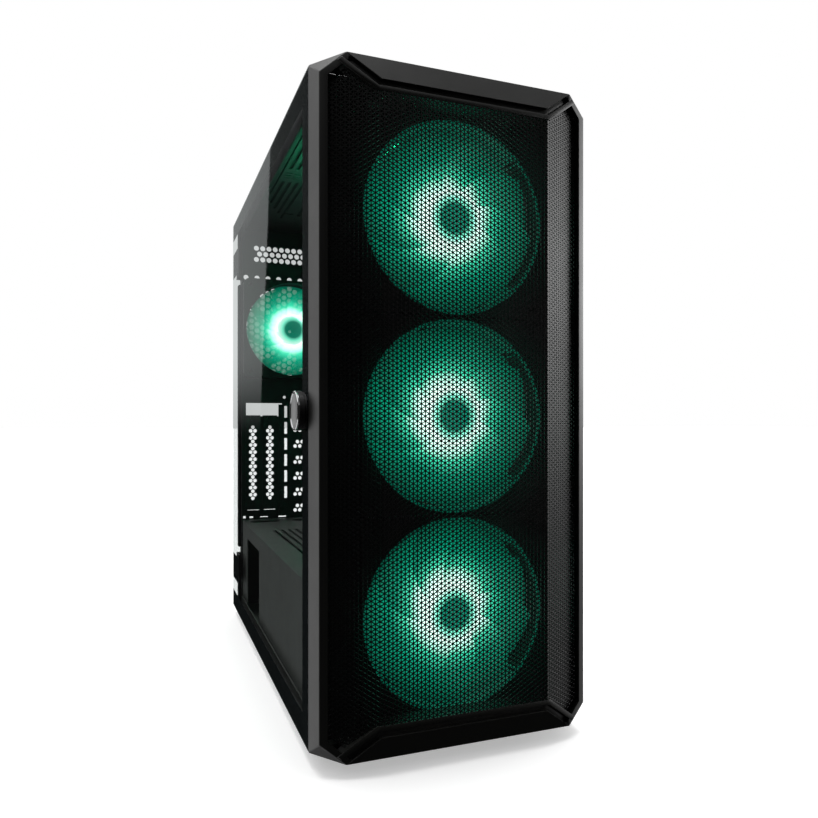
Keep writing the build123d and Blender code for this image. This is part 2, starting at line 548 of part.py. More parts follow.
def psu_fan_rotor():
    """Impeller of the power supply, on an upright axis."""
    z0 = PSU_Z0 + 2.2
    rotor = rod_z(21.0, z0, z0 + 15, PSU_MID_X, PSU_MID_Y)
    for i in range(7):
        blade = Pos(38, 0, 0) * Rot(52, 0, 0) * Box(38, 1.6, 20)
        rotor += Pos(PSU_MID_X, PSU_MID_Y, z0 + 7.5) * Rot(0, 0, 360 / 7 * i) * blade
    rotor &= rod_z(PSU_FAN_R, z0, z0 + 15, PSU_MID_X, PSU_MID_Y)
    return rotor + rod_z(SHAFT_R, PSU_Z0 + 0.1, z0 + 1, PSU_MID_X, PSU_MID_Y)


def psu_inlet():
    """Mains inlet socket with three blades, no cord."""
    x, z, y1 = INLET_X, INLET_Z, WALL_Y
    body = block(x - 13.5, x + 13.5, y1 - 18, y1, z - 10, z + 10)
    body -= block(x - 12, x + 12, y1 - 16, y1 + 1, z - 8, z + 8)
    for dx, dz in ((-7, -2), (7, -2), (0, 2)):
        body += block(x + dx - 1, x + dx + 1, y1 - 17, y1 - 3, z + dz - 2, z + dz + 2)
    return body


def psu_switch():
    """Rocker of the mains switch, on an upright pin."""
    x, z, y1 = SWITCH_X, INLET_Z, WALL_Y
    rocker = rod_z(7.0, z - 4.9, z + 4.9, x, y1 - 4) & block(x - 7.4, x + 7.4, y1 - 6, y1 + 2, z - 5, z + 5)
    return rocker + rod_z(1.0, z - 6.4, z + 6.4, x, y1 - 4)


# ---------------------------------------------------------------- main board
def main_board():
    """Printed board with its fixing holes."""
    x1 = BOARD_X
    board = block(x1 - BOARD_THICK, x1, BOARD_Y1 - BOARD_WIDE, BOARD_Y1, BOARD_Z0, BOARD_Z0 + BOARD_TALL)
    holes = [rod_x(SCREW_HOLE_R, x1 - 5, x1 + 1, BOARD_Y1 - dy, BOARD_Z0 + dz) for dy, dz in BOARD_HOLES]
    return board - holes


def standoffs():
    """Brass spacers between tray and board."""
    return [rod_x(3.0, BOARD_X, TRAY_X, BOARD_Y1 - dy, BOARD_Z0 + dz) for dy, dz in BOARD_HOLES]


def io_shield():
    """Plate in the rear wall around the board's ports."""
    x1 = BOARD_FACE + 3.8
    z0, z1 = IO_Z0, IO_Z0 + IO_TALL
    plate = block(x1 - IO_WIDE, x1, WALL_Y, WALL_Y + SHEET, z0, z1)
    for z, tall, deep in port_layout():
        plate -= block(BOARD_FACE - deep, BOARD_FACE - 1, WALL_Y - 1, WALL_Y + 2, z, z + tall)
    return plate


def port_layout():
    """Height above the floor, height and stand-off from the board of each port block."""
    return [(IO_Z0 + 8, 18.0, 30.0), (IO_Z0 + 34, 16.0, 16.0), (IO_Z0 + 56, 18.0, 30.0), (IO_Z0 + 80, 18.0, 30.0),
            (IO_Z0 + 104, 16.0, 14.0), (IO_Z0 + 127, 12.0, 34.0)]


def board_ports():
    """Port blocks at the rear edge of the board, with hollow mouths."""
    ports = []
    for z, tall, deep in port_layout():
        port = block(BOARD_FACE - deep, BOARD_FACE - 1, BOARD_Y1 - 22, WALL_Y + SHEET + 0.8, z, z + tall)
        port += block(BOARD_FACE - 1, BOARD_FACE, BOARD_Y1 - 22, BOARD_Y1, z, z + tall)
        port -= block(BOARD_FACE - deep + 1, BOARD_FACE - deep + 4.5, WALL_Y - 8, WALL_Y + 3, z + 1.5, z + tall - 1.5)
        ports.append(port)
    return ports


def cpu_heatsink():
    """Finned block over the processor."""
    sink = block(BOARD_FACE - 8, BOARD_FACE, CPU_Y - 22, CPU_Y + 22, CPU_Z - 22, CPU_Z + 22)
    sink += block(BOARD_FACE - 12, BOARD_FACE - 8, CPU_Y - 45, CPU_Y + 45, CPU_Z - 45, CPU_Z + 45)
    for i in range(-9, 10):
        z = CPU_Z + i * FIN_PITCH
        sink += block(BOARD_FACE - HEATSINK_TALL, BOARD_FACE - 12, CPU_Y - 45, CPU_Y + 45, z - 0.6, z + 0.6)
    return sink


def cpu_fan_place():
    """Stand of the processor fan: its cup faces the fins."""
    return Pos(BOARD_FACE - HEATSINK_TALL - CPU_FAN_DEPTH / 2, CPU_Y, CPU_Z) * Rot(0, 90, 0)


def memory_modules():
    """Two memory modules in their sockets."""
    modules = []
    for y in MEMORY_YS:
        stick = block(BOARD_FACE - 40, BOARD_FACE - 5, y - 3.5, y + 3.5, CPU_Z - 66, CPU_Z + 66)
        stick += block(BOARD_FACE - 5, BOARD_FACE, y - 3.0, y + 3.0, CPU_Z - 70, CPU_Z + 70)
        modules.append(stick)
    return modules


def board_sockets():
    """Two long card sockets and the power socket of the board."""
    sockets = [block(BOARD_FACE - 11, BOARD_FACE, 60, 150, z - 3.7, z + 3.7) for z in (SLOTS_Z[5], SLOTS_Z[2])]
    sockets.append(block(BOARD_FACE - 13, BOARD_FACE, BOARD_Y1 - BOARD_WIDE + 3, BOARD_Y1 - BOARD_WIDE + 12, 300, 352))
    return sockets


# ---------------------------------------------------------------- glass door
def glass_door():
    """Tempered pane over the whole left side, with a hole for the knob screw."""
    pane = block(X_L, X_L + GLASS_THICK, SEAM_Y + GAP, SEAM_Y + GLASS_LENGTH, Z_B, Z_T)
    pane = fillet(pane.edges().filter_by(Axis.X), 1.5)
    return pane - rod_x(3.0, X_L - 1, X_L + GLASS_THICK + 1, KNOB_Y, KNOB_Z)


def door_knob():
    """Pull knob on the glass: dished face in a round body."""
    body = rod_x(KNOB_R, X_L - 5.5, X_L, KNOB_Y, KNOB_Z) - rod_x(KNOB_R - 2.0, X_L - 9, X_L - 4.5, KNOB_Y, KNOB_Z)
    return body - rod_x(1.6, X_L - 3.5, X_L + 1, KNOB_Y, KNOB_Z)


def knob_rim():
    """Bright ring around the knob's face."""
    ring = rod_x(KNOB_R, X_L - KNOB_PROUD, X_L - 5.5, KNOB_Y, KNOB_Z)
    return ring - rod_x(KNOB_R - 2.0, X_L - 9, X_L, KNOB_Y, KNOB_Z)


def knob_screw():
    """Screw and washer that hold the knob through the glass."""
    x0 = X_L + GLASS_THICK
    return rod_x(5.0, x0, x0 + 2.0, KNOB_Y, KNOB_Z) + rod_x(1.55, X_L - 3.4, x0, KNOB_Y, KNOB_Z)


def hinge_door_leaves():
    """Leaves on the glass: a pad and two outer knuckles each."""
    leaves = []
    x0 = X_L + GLASS_THICK
    for z in HINGE_ZS:
        z0, z1 = z - HINGE_TALL / 2, z + HINGE_TALL / 2
        leaf = block(x0, x0 + 1.2, HINGE_Y - 24, HINGE_Y - 3, z0, z1)
        for a, b in ((z0, z0 + 8), (z1 - 8, z1)):
            knuckle = rod_z(HINGE_R, a, b, HINGE_X, HINGE_Y)
            knuckle += block(x0, x0 + 1.2, HINGE_Y - 4, HINGE_Y, a, b)
            knuckle += block(x0, HINGE_X, HINGE_Y - 1.5, HINGE_Y + 1.5, a, b)
            leaf += knuckle
        leaf -= rod_z(PIN_R + RUNNING_FIT, z0 - 1, z1 + 1, HINGE_X, HINGE_Y)
        leaves.append(leaf)
    return leaves


def hinge_frame_leaves():
    """Leaves on the chassis: a pad inside the rear corner and the middle knuckle."""
    leaves = []
    for z in HINGE_ZS:
        a, b = z - HINGE_TALL / 2 + 8.3, z + HINGE_TALL / 2 - 8.3
        leaf = rod_z(HINGE_R, a, b, HINGE_X, HINGE_Y)
        leaf += block(HINGE_X, HINGE_X + 2.4, WALL_Y + SHEET, HINGE_Y, a, b)
        leaf += block(HINGE_X + 0.5, HINGE_X + 8, WALL_Y + SHEET, WALL_Y + SHEET + 1.2, a, b)
        leaf -= rod_z(PIN_R, a - 1, b + 1, HINGE_X, HINGE_Y)
        leaves.append(leaf)
    return leaves


def hinge_pins():
    """Pins of the two door hinges."""
    return [rod_z(PIN_R, z - HINGE_TALL / 2, z + HINGE_TALL / 2, HINGE_X, HINGE_Y) for z in HINGE_ZS]


def door_magnets():
    """Two round magnets on the front left upright."""
    y = FRONT_WALL_Y + 8
    return [rod_x(4.0, FRAME_XL - 2.0, FRAME_XL, y, z) for z in MAGNET_ZS]


def door_strikes():
    """Steel discs inside the glass that meet the magnets."""
    y = FRONT_WALL_Y + 8
    return [rod_x(5.0, X_L + GLASS_THICK, X_L + GLASS_THICK + 1.2, y, z) for z in MAGNET_ZS]


# ---------------------------------------------------------------- front bezel
def bezel_shell(grow):
    """The outer block of the bezel, drawn in on all sides by a wall."""
    xr, cx = RAIL_X - grow, CUT_X - grow * 0.4
    zt, zb = Z_T - DRAFT_TOP - grow, Z_B + DRAFT_TOP + grow
    rt, rb = RAIL_Z1 - grow * 0.4, RAIL_Z0 + grow * 0.4
    back = SEAM_Y + (1.0 if grow else 0.0)
    ax, at, ab = X_R - grow, Z_T - grow, Z_B + grow
    pts = [(-ax, back, ab), (ax, back, ab), (ax, back, at), (-ax, back, at),
           (-xr, RAIL_Y, rb), (-cx, CREST_Y, zb), (cx, CREST_Y, zb), (xr, RAIL_Y, rb),
           (xr, RAIL_Y, rt), (cx, CREST_Y, zt), (-cx, CREST_Y, zt), (-xr, RAIL_Y, rt)]
    faces = [(0, 1, 2, 3), (0, 5, 6, 1), (1, 7, 8, 2), (2, 9, 10, 3), (3, 11, 4, 0),
             (0, 4, 5), (1, 6, 7), (2, 8, 9), (3, 10, 11),
             (5, 10, 9, 6), (4, 11, 10, 5), (6, 9, 8, 7)]
    return hull_of(pts, faces)


def front_bezel():
    """Hollow plastic surround: sides, top, bottom and the side rails."""
    shell = bezel_shell(0.0) - bezel_shell(BEZEL_WALL)
    mouth = Wire.make_polygon([(-MESH_EDGE_X, 0, RAIL_Z0 + 2), (-CUT_X + 1.5, 0, Z_B + MOUTH_EDGE), (CUT_X - 1.5, 0, Z_B + MOUTH_EDGE),
                               (MESH_EDGE_X, 0, RAIL_Z0 + 2), (MESH_EDGE_X, 0, RAIL_Z1 - 2),
                               (CUT_X - 1.5, 0, Z_T - MOUTH_EDGE), (-CUT_X + 1.5, 0, Z_T - MOUTH_EDGE),
                               (-MESH_EDGE_X, 0, RAIL_Z1 - 2)])
    cutter = extrude(Face(mouth), 400, dir=(0, -1, 0))
    return shell - cutter


def front_mesh():
    """Perforated steel front, folded twice, as a plain sheet."""
    t = 1.2
    lift = 0.4
    prof = [(-MESH_EDGE_X + lift, MESH_EDGE_Y), (-FOLD_X, Y_F), (FOLD_X, Y_F), (MESH_EDGE_X - lift, MESH_EDGE_Y)]
    back = [(x, y + t) for x, y in reversed(prof)]
    band = extrude(Face(Wire.make_polygon([(x, y, 0) for x, y in prof + back])), HEIGHT, dir=(0, 0, 1))
    half = [(MESH_EDGE_X - lift, RAIL_Z0 + 2.6), (CUT_X - 2.2, Z_B + 7.6), (FOLD_X + lift, LIP_Z0 + lift)]
    edge = half + [(-x, z) for x, z in reversed(half)]
    edge += [(-x, Z_B + Z_T - z) for x, z in half] + [(x, Z_B + Z_T - z) for x, z in reversed(half)]
    out = Wire.make_polygon([(x, 0, z) for x, z in edge])
    return band & extrude(Face(out), 400, dir=(0, -1, 0))


def visor(side):
    """Sloped visor above (+1) or below (-1) the mesh."""
    z_out = Z_T - MOUTH_EDGE if side > 0 else Z_B + MOUTH_EDGE
    z_in = LIP_Z1 if side > 0 else LIP_Z0
    outer = CUT_X - 1.6
    pts = [(-outer, CREST_Y, z_out), (outer, CREST_Y, z_out), (FOLD_X, Y_F, z_in), (-FOLD_X, Y_F, z_in),
           (-outer, CREST_Y + 12, z_out), (outer, CREST_Y + 12, z_out), (FOLD_X, CREST_Y + 12, z_in),
           (-FOLD_X, CREST_Y + 12, z_in)]
    faces = [(0, 1, 2, 3), (4, 7, 6, 5), (0, 4, 5, 1), (3, 2, 6, 7), (1, 5, 6, 2), (0, 3, 7, 4)]
    return hull_of(pts, faces)


# ---------------------------------------------------------------- outside panels, feet and fasteners
def right_side_panel():
    """Steel side panel with a rear fold that the thumb screws go through."""
    panel = block(X_R - SHEET, X_R, SEAM_Y + GAP, Y_B, Z_B, Z_T)
    panel += block(FRAME_XR - 14, X_R - SHEET, FOLD_Y, FOLD_Y + SHEET, FLOOR_Z + SHEET + GAP, CEILING_Z - GAP)
    return panel - [rod_y(SCREW_HOLE_R, FOLD_Y - 1, FOLD_Y + 2, THUMB_X, z) for z in THUMB_ZS]


def thumb_screws():
    """Two knurled screws that lock the side panel, kept in its fold."""
    return [rod_y(5.0, FOLD_Y + SHEET, Y_B - 1, THUMB_X, z) + rod_y(SCREW_R, FOLD_Y - 2.6, FOLD_Y + SHEET, THUMB_X, z)
            for z in THUMB_ZS]


def top_filter():
    """Magnetic dust filter: frame and fine screen."""
    z0, z1 = CEILING_Z + SHEET, CEILING_Z + SHEET + TOP_FILTER_THICK
    mid = (TOP_FILTER_Y0 + TOP_FILTER_Y1) / 2
    x, y0, y1 = TOP_FILTER_X - TOP_FILTER_RIM, TOP_FILTER_Y0 + TOP_FILTER_RIM, TOP_FILTER_Y1 - TOP_FILTER_RIM
    frame = Pos(0, mid, (z0 + z1) / 2) * slab(2 * TOP_FILTER_X, TOP_FILTER_Y1 - TOP_FILTER_Y0, z1 - z0, 5)
    frame -= block(-x, x, y0, y1, z0 - 1, z1 + 1)
    return frame + block(-x, x, y0, y1, z0 + 0.6, z0 + 1.4)


def feet():
    """Four round feet under the bottom tray."""
    return [rod_z(FOOT_R, PAD_THICK, FLOOR_Z, x, y) for x, y in FOOT_SPOTS]


def foot_pads():
    """Rubber pads that the tower rests on."""
    return [rod_z(FOOT_R - 2, 0.0, PAD_THICK, x, y) for x, y in FOOT_SPOTS]


# ---------------------------------------------------------------- write every node
save("bottom_tray", bottom_tray())
save("psu_filter", psu_filter())
save("top_panel", top_panel())
save("io_bar", io_bar())
save("port_sockets", *usb_ports(), *audio_jacks())
save("power_button", button(POWER_X, POWER_R))
save("reset_button", button(RESET_X, RESET_R))
save("rear_panel", rear_panel())
save("front_left_rail", fan_rail(-1))
save("front_right_rail", fan_rail(1))
save("motherboard_tray", motherboard_tray())
save("cable_grommets", *cable_grommets())
save("psu_shroud", psu_shroud())
save("drive_cage", drive_cage())
save("drive_trays", *drive_trays())
save("hard_drive", hard_drive())
save("solid_state_drive", solid_state_drive())

for name, z in zip(("lower", "middle", "upper"), FAN_ZS):
    place = along_y(0, FAN_FACE_Y + FAN_DEPTH / 2, z)
    save(f"front_fan_{name}_frame", place * fan_frame(FRONT_FAN, FAN_DEPTH, FRONT_FAN_SCREWS, 22.0))
    save(f"front_fan_{name}_rotor", place * fan_rotor(FRONT_FAN, FAN_DEPTH, 21.0, 9))
place = along_y(REAR_FAN_X, WALL_Y - FAN_DEPTH / 2, REAR_FAN_Z)
save("rear_fan_frame", place * fan_frame(REAR_FAN, FAN_DEPTH, REAR_FAN_SCREWS, 20.0))
save("rear_fan_rotor", place * fan_rotor(REAR_FAN, FAN_DEPTH, 19.0, 9))
save("fan_screws", *fan_screws())

save("slot_covers", *slot_covers())
save("upright_slot_covers", *upright_slot_covers())
save("case_screws", *case_screws())

save("psu_housing", psu_housing())
save("psu_fan_rotor", psu_fan_rotor())
save("psu_inlet", psu_inlet())
save("psu_switch", psu_switch())

save("main_board", main_board())
save("standoffs", *standoffs())
save("io_shield", io_shield())
save("board_ports", *board_ports())
save("cpu_heatsink", cpu_heatsink())
save("cpu_fan_frame", cpu_fan_place() * fan_frame(CPU_FAN, CPU_FAN_DEPTH, CPU_FAN_SCREWS, 17.0))
save("cpu_fan_rotor", cpu_fan_place() * fan_rotor(CPU_FAN, CPU_FAN_DEPTH, 16.0, 7))
save("memory_modules", *memory_modules())
save("board_sockets", *board_sockets())

save("glass_door", glass_door())
save("door_knob", door_knob())
save("knob_rim", knob_rim())
save("knob_screw", knob_screw())
save("hinge_door_leaves", *hinge_door_leaves())
save("hinge_frame_leaves", *hinge_frame_leaves())
save("hinge_pins", *hinge_pins())
save("door_magnets", *door_magnets())
save("door_strikes", *door_strikes())

save("front_bezel", front_bezel())
save("front_mesh", front_mesh())
save("top_visor", visor(1))
save("bottom_visor", visor(-1))

save("right_side_panel", right_side_panel())
save("thumb_screws", *thumb_screws())
save("top_filter", top_filter())
save("feet", *feet())
save("foot_pads", *foot_pads())
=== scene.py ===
"""Looks of a glass-door tower computer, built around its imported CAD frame.

Every length is in metres and every place comes from the boxes of the CAD nodes.
"""
import logging
import math
from dataclasses import dataclass
from enum import Enum
from typing import Iterable, Sequence

import bmesh
import bpy
from bmesh.types import BMEdge, BMesh, BMVert
from mathutils import Matrix, Vector


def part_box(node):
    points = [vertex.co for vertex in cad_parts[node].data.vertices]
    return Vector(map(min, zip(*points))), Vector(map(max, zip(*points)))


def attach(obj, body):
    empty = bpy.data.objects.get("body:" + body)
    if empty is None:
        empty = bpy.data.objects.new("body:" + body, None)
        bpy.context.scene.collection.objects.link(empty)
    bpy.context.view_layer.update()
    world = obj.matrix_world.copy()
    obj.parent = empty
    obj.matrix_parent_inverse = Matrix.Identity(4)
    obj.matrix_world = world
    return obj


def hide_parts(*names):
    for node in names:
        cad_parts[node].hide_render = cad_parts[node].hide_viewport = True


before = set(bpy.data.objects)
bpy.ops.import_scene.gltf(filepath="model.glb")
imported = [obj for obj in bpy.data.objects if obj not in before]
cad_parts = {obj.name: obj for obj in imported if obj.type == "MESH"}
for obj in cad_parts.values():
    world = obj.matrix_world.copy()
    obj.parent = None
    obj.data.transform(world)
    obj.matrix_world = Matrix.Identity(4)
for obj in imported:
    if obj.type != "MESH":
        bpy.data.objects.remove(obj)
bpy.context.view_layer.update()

MM = 0.001                    # one millimetre in metres
FLAT = 1e-7                   # points nearer a cutting plane than this lie on it
WELD = 1e-6                   # points nearer each other than this are one
GREY_WHITE = (0.9, 0.9, 0.9)
FRONT_FANS = ("lower", "middle", "upper")
logging.basicConfig(level=logging.INFO, format="%(message)s")
LOG = logging.getLogger("tower")
Point = tuple[float, float, float]


# ------------------------------------------------------------------ shader maths
class Wire:
    """One output socket of a shader graph that takes part in Python maths."""

    def __init__(self, graph: "Graph", socket: bpy.types.NodeSocket) -> None:
        """Keep the graph and the socket.

        Args:
            graph: the graph that new nodes go into.
            socket: the output that this stands for.
        """
        self.graph = graph
        self.socket = socket

    def _maths(self, operation: str, *others: "Wire | float") -> "Wire":
        """Add a Math node on this value.

        Args:
            operation: the node's operation.
            others: the other operands.

        Returns:
            The node's result.
        """
        return self.graph.maths(operation, self, *others)

    def __add__(self, other: "Wire | float") -> "Wire":
        """Sum."""
        return self._maths("ADD", other)

    __radd__ = __add__

    def __mul__(self, other: "Wire | float") -> "Wire":
        """Product."""
        return self._maths("MULTIPLY", other)

    __rmul__ = __mul__

    def __sub__(self, other: "Wire | float") -> "Wire":
        """Difference."""
        return self._maths("SUBTRACT", other)

    def __rsub__(self, other: float) -> "Wire":
        """Reflected difference."""
        return self.graph.maths("SUBTRACT", other, self)

    def __truediv__(self, other: "Wire | float") -> "Wire":
        """Quotient."""
        return self._maths("DIVIDE", other)

    def __pow__(self, other: float) -> "Wire":
        """Power."""
        return self._maths("POWER", other)

    def __lt__(self, other: "Wire | float") -> "Wire":
        """One where this is less."""
        return self._maths("LESS_THAN", other)

    def __gt__(self, other: "Wire | float") -> "Wire":
        """One where this is greater."""
        return self._maths("GREATER_THAN", other)


class Graph:
    """A material's node graph, built by one method that makes any node."""

    def __init__(self, name: str) -> None:
        """Start an empty material.

        Args:
            name: the material's name.
        """
        self.material = bpy.data.materials.new(name)
        self.material.use_nodes = True
        self.tree = self.material.node_tree
        self.tree.nodes.clear()
        self.out = self.tree.nodes.new("ShaderNodeOutputMaterial")

    def node(self, kind: str, settings: dict[str, object] | None = None,
             inputs: dict[str | int, object] | None = None, output: str | int = 0) -> Wire:
        """Add one node.

        Args:
            kind: node type without its ShaderNode prefix.
            settings: node properties; the key stops sets a ramp's stops.
            inputs: values or wires by socket name or index.
            output: which output to return.

        Returns:
            The chosen output.
        """
        made = self.tree.nodes.new("ShaderNode" + kind)
        for key, value in (settings or {}).items():
            if key == "stops":
                ramp = made.color_ramp
                while len(ramp.elements) < len(value):
                    ramp.elements.new(1.0)
                for element, (place, colour) in zip(ramp.elements, value):
                    element.position = place
                    element.color = (*colour, 1.0)
            else:
                setattr(made, key, value)
        for key, value in (inputs or {}).items():
            socket = made.inputs[key]
            if isinstance(value, Wire):
                self.tree.links.new(value.socket, socket)
            else:
                socket.default_value = value
        return Wire(self, made.outputs[output])

    def maths(self, operation: str, *values: Wire | float) -> Wire:
        """Add a Math node on wires and numbers."""
        return self.node("Math", {"operation": operation}, dict(enumerate(values)))

    def place(self) -> Wire:
        """Object coordinates."""
        return self.node("TexCoord", output="Object")

    def split(self, vector: Wire) -> tuple[Wire, Wire, Wire]:
        """The three parts of a vector."""
        parts = self.node("SeparateXYZ", inputs={0: vector})
        return tuple(Wire(self, parts.socket.node.outputs[i]) for i in range(3))

    def noise(self, scale: float, detail: float = 3.0, vector: Wire | None = None) -> Wire:
        """Noise over the object's own coordinates, about 0 to 1.

        Args:
            scale: patches per metre.
            detail: octaves.
            vector: coordinates to use in place of the plain ones.

        Returns:
            The noise value.
        """
        where = vector or self.place()
        return self.node("TexNoise", inputs={"Vector": where, "Scale": scale, "Detail": detail})

    def mix(self, factor: Wire | float, first: object, second: object) -> Wire:
        """Blend two colours.

        Args:
            factor: 0 gives the first, 1 the second.
            first: colour or wire.
            second: colour or wire.

        Returns:
            The blended colour.
        """
        made = self.node("Mix", {"data_type": "RGBA"}, output=2)
        node = made.socket.node
        for index, value in ((0, factor), (6, first), (7, second)):
            if isinstance(value, Wire):
                self.tree.links.new(value.socket, node.inputs[index])
            elif index:
                node.inputs[index].default_value = (*value, 1.0)
            else:
                node.inputs[index].default_value = value
        return made

    def bump(self, height: Wire, distance: float, strength: float = 1.0) -> Wire:
        """A normal from a height.

        Args:
            height: the height field.
            distance: metres for a height of one.
            strength: share of the effect.

        Returns:
            The normal.
        """
        return self.node("Bump", inputs={"Height": height, "Distance": distance, "Strength": strength})

    def vector(self, operation: str, *values: object, output: str | int = 0) -> Wire:
        """Add a Vector Math node on wires and vectors."""
        return self.node("VectorMath", {"operation": operation}, dict(enumerate(values)), output)

    def close(self, shader: Wire) -> bpy.types.Material:
        """Link a shader to the output and return the material."""
        self.tree.links.new(shader.socket, self.out.inputs["Surface"])
        return self.material

    def surface(self, **inputs: object) -> bpy.types.Material:
        """Close the graph with a Principled shader.

        Args:
            inputs: its sockets, with underscores for spaces.

        Returns:
            The finished material.
        """
        named = {key.replace("_", " "): value for key, value in inputs.items()}
        return self.close(self.node("BsdfPrincipled", inputs=named))


# ------------------------------------------------------------------ finishes
@dataclass(frozen=True)
class Finish:
    """A lacquer, plastic or metal with grain, mottling and worn patches."""

    name: str
    colour: Point
    rough: float = 0.45
    metal: float = 0.0
    grain: float = 2600.0        # grain bumps per metre
    grain_depth: float = 0.00004
    mottle: float = 0.25         # how far the colour varies
    rough_spread: float = 0.12
    coat: float = 0.0
    streak: Point = (1.0, 1.0, 1.0)   # stretch of the grain along each axis
    specular: float = 0.5

    def build(self) -> bpy.types.Material:
        """Make the material.

        Returns:
            The finished material.
        """
        graph = Graph(self.name)
        where = graph.node("Mapping", inputs={"Vector": graph.place(), "Scale": self.streak})
        fine = graph.noise(self.grain, 2.0, where)
        broad = graph.noise(14.0, 4.0)
        dark = tuple(c * (1.0 - self.mottle) for c in self.colour)
        light = tuple(min(1.0, c * (1.0 + self.mottle)) for c in self.colour)
        tone = graph.mix(broad * 0.6 + fine * 0.4, dark, light)
        smudge = graph.noise(55.0, 3.0)
        rough = self.rough + (smudge - 0.5) * (2 * self.rough_spread)
        extra = {"Coat_Weight": self.coat} if self.coat else {}
        return graph.surface(Base_Color=tone, Roughness=rough, Metallic=self.metal,
                             Specular_IOR_Level=self.specular,
                             Normal=graph.bump(fine, self.grain_depth), **extra)


@dataclass(frozen=True)
class GlowFinish:
    """Clear fan plastic lit from the hub: white-hot at the middle, green outside."""

    name: str
    centre: Point
    axis: int                     # index of the axis it turns about: 1 for a fan that blows along Y
    hub: float
    reach: float
    power: float
    solid: float

    def build(self) -> bpy.types.Material:
        """Make the material.

        Returns:
            The finished material.
        """
        graph = Graph(self.name)
        flat = tuple(0.0 if i == self.axis else 1.0 for i in range(3))
        disc = graph.vector("MULTIPLY", graph.vector("SUBTRACT", graph.place(), self.centre), flat)
        share = graph.vector("LENGTH", disc, output="Value") / self.reach
        inner = self.hub / self.reach
        glow = graph.node("ValToRGB", {"stops": self._stops(inner)}, {0: share})
        swirl = graph.noise(90.0, 3.0)
        shade = graph.mix(swirl * 0.5, (1.0, 1.0, 1.0), (0.55, 0.6, 0.58))
        lit = graph.vector("MULTIPLY", glow, shade)
        haze = graph.noise(2400.0, 2.0)
        return graph.surface(Base_Color=graph.mix(swirl, (0.02, 0.09, 0.07), (0.04, 0.16, 0.12)),
                             Roughness=0.28 + swirl * 0.2, Emission_Color=lit, Emission_Strength=self.power,
                             Alpha=self.solid, Normal=graph.bump(haze, 0.00003))

    @staticmethod
    def _stops(inner: float) -> list[tuple[float, Point]]:
        """Colours from the hub outwards.

        Args:
            inner: the hub's share of the reach.

        Returns:
            Ramp stops.
        """
        blade = 1.0 - inner
        hub = [(0.0, (0.0, 0.13, 0.08)), (inner * 0.38, (0.0, 0.16, 0.10)),
               (inner * 0.52, (0.20, 0.85, 0.60)), (inner * 0.72, (0.75, 1.0, 0.90)),
               (inner * 0.93, (0.50, 1.0, 0.80))]
        return hub + [(inner + blade * 0.14, (0.03, 0.48, 0.29)), (inner + blade * 0.42, (0.0, 0.19, 0.11)),
                      (inner + blade * 0.8, (0.0, 0.10, 0.056)), (1.0, (0.0, 0.05, 0.03))]


@dataclass(frozen=True)
class GlassFinish:
    """Tinted tempered glass: lets light through, and its outer face mirrors at a slant."""

    name: str
    outer: bool = True
    tint: Point = (0.64, 0.66, 0.655)
    mirror: float = 0.3           # share of a clean pane's mirror, as its coating leaves

    def build(self) -> bpy.types.Material:
        """Make the material.

        Returns:
            The finished material.
        """
        graph = Graph(self.name)
        smear = graph.noise(9.0, 4.0)
        tone = graph.mix(smear, self.tint, tuple(c * 0.97 for c in self.tint))
        clear = graph.node("BsdfTransparent", inputs={"Color": tone})
        if not self.outer:
            return graph.close(clear)
        polish = 0.01 + smear * 0.012
        gloss = graph.node("BsdfGlossy", inputs={"Color": (0.9, 0.94, 0.94, 1.0), "Roughness": polish})
        slant = graph.node("Fresnel", inputs={"IOR": 1.42})
        return graph.close(graph.node("MixShader", inputs={0: slant * self.mirror, 1: clear, 2: gloss}))


@dataclass(frozen=True)
class ScreenFinish:
    """Fine woven filter screen."""

    name: str
    colour: Point
    pitch: float = 0.0011

    def build(self) -> bpy.types.Material:
        """Make the material.

        Returns:
            The finished material.
        """
        graph = Graph(self.name)
        x, y, _ = graph.split(graph.place())
        turn = 2 * math.pi / self.pitch
        weave = graph.maths("SINE", x * turn) * 0.25 + graph.maths("SINE", y * turn) * 0.25 + 0.5
        dust = graph.noise(30.0, 4.0)
        pale = tuple(min(1.0, c * 3.0 + 0.01) for c in self.colour)
        tone = graph.mix(weave * (0.5 + dust * 0.5), tuple(c * 0.3 for c in self.colour), pale)
        return graph.surface(Base_Color=tone, Roughness=0.55 + dust * 0.2, Normal=graph.bump(weave, 0.0003))


@dataclass(frozen=True)
class LaminateFinish:
    """Dark circuit laminate with faint traces under its solder mask."""

    name: str

    def build(self) -> bpy.types.Material:
        """Make the material.

        Returns:
            The finished material.
        """
        graph = Graph(self.name)
        stretched = graph.node("Mapping", inputs={"Vector": graph.place(), "Scale": (1.0, 0.25, 1.0)})
        cells = graph.node("TexVoronoi", {"distance": "MANHATTAN", "feature": "F1"},
                           {"Vector": stretched, "Scale": 300.0}, output="Distance")
        traces = graph.maths("PINGPONG", cells, 0.09) / 0.09
        fleck = graph.noise(800.0, 2.0)
        tone = graph.mix(traces, (0.006, 0.012, 0.010), (0.016, 0.034, 0.026))
        return graph.surface(Base_Color=tone, Roughness=0.34 + fleck * 0.15,
                             Normal=graph.bump(traces, 0.00006))


@dataclass(frozen=True)
class MeshFinish:
    """Glossy black lacquer over punched steel."""

    name: str

    def build(self) -> bpy.types.Material:
        """Make the material.

        Returns:
            The finished material.
        """
        graph = Graph(self.name)
        peel = graph.noise(1500.0, 2.0)
        patch = graph.noise(20.0, 3.0)
        tone = graph.mix(patch, (0.0035, 0.0035, 0.0036), (0.008, 0.008, 0.0085))
        return graph.surface(Base_Color=tone, Roughness=0.24 + patch * 0.14, Specular_IOR_Level=0.6,
                             Normal=graph.bump(peel, 0.00006))


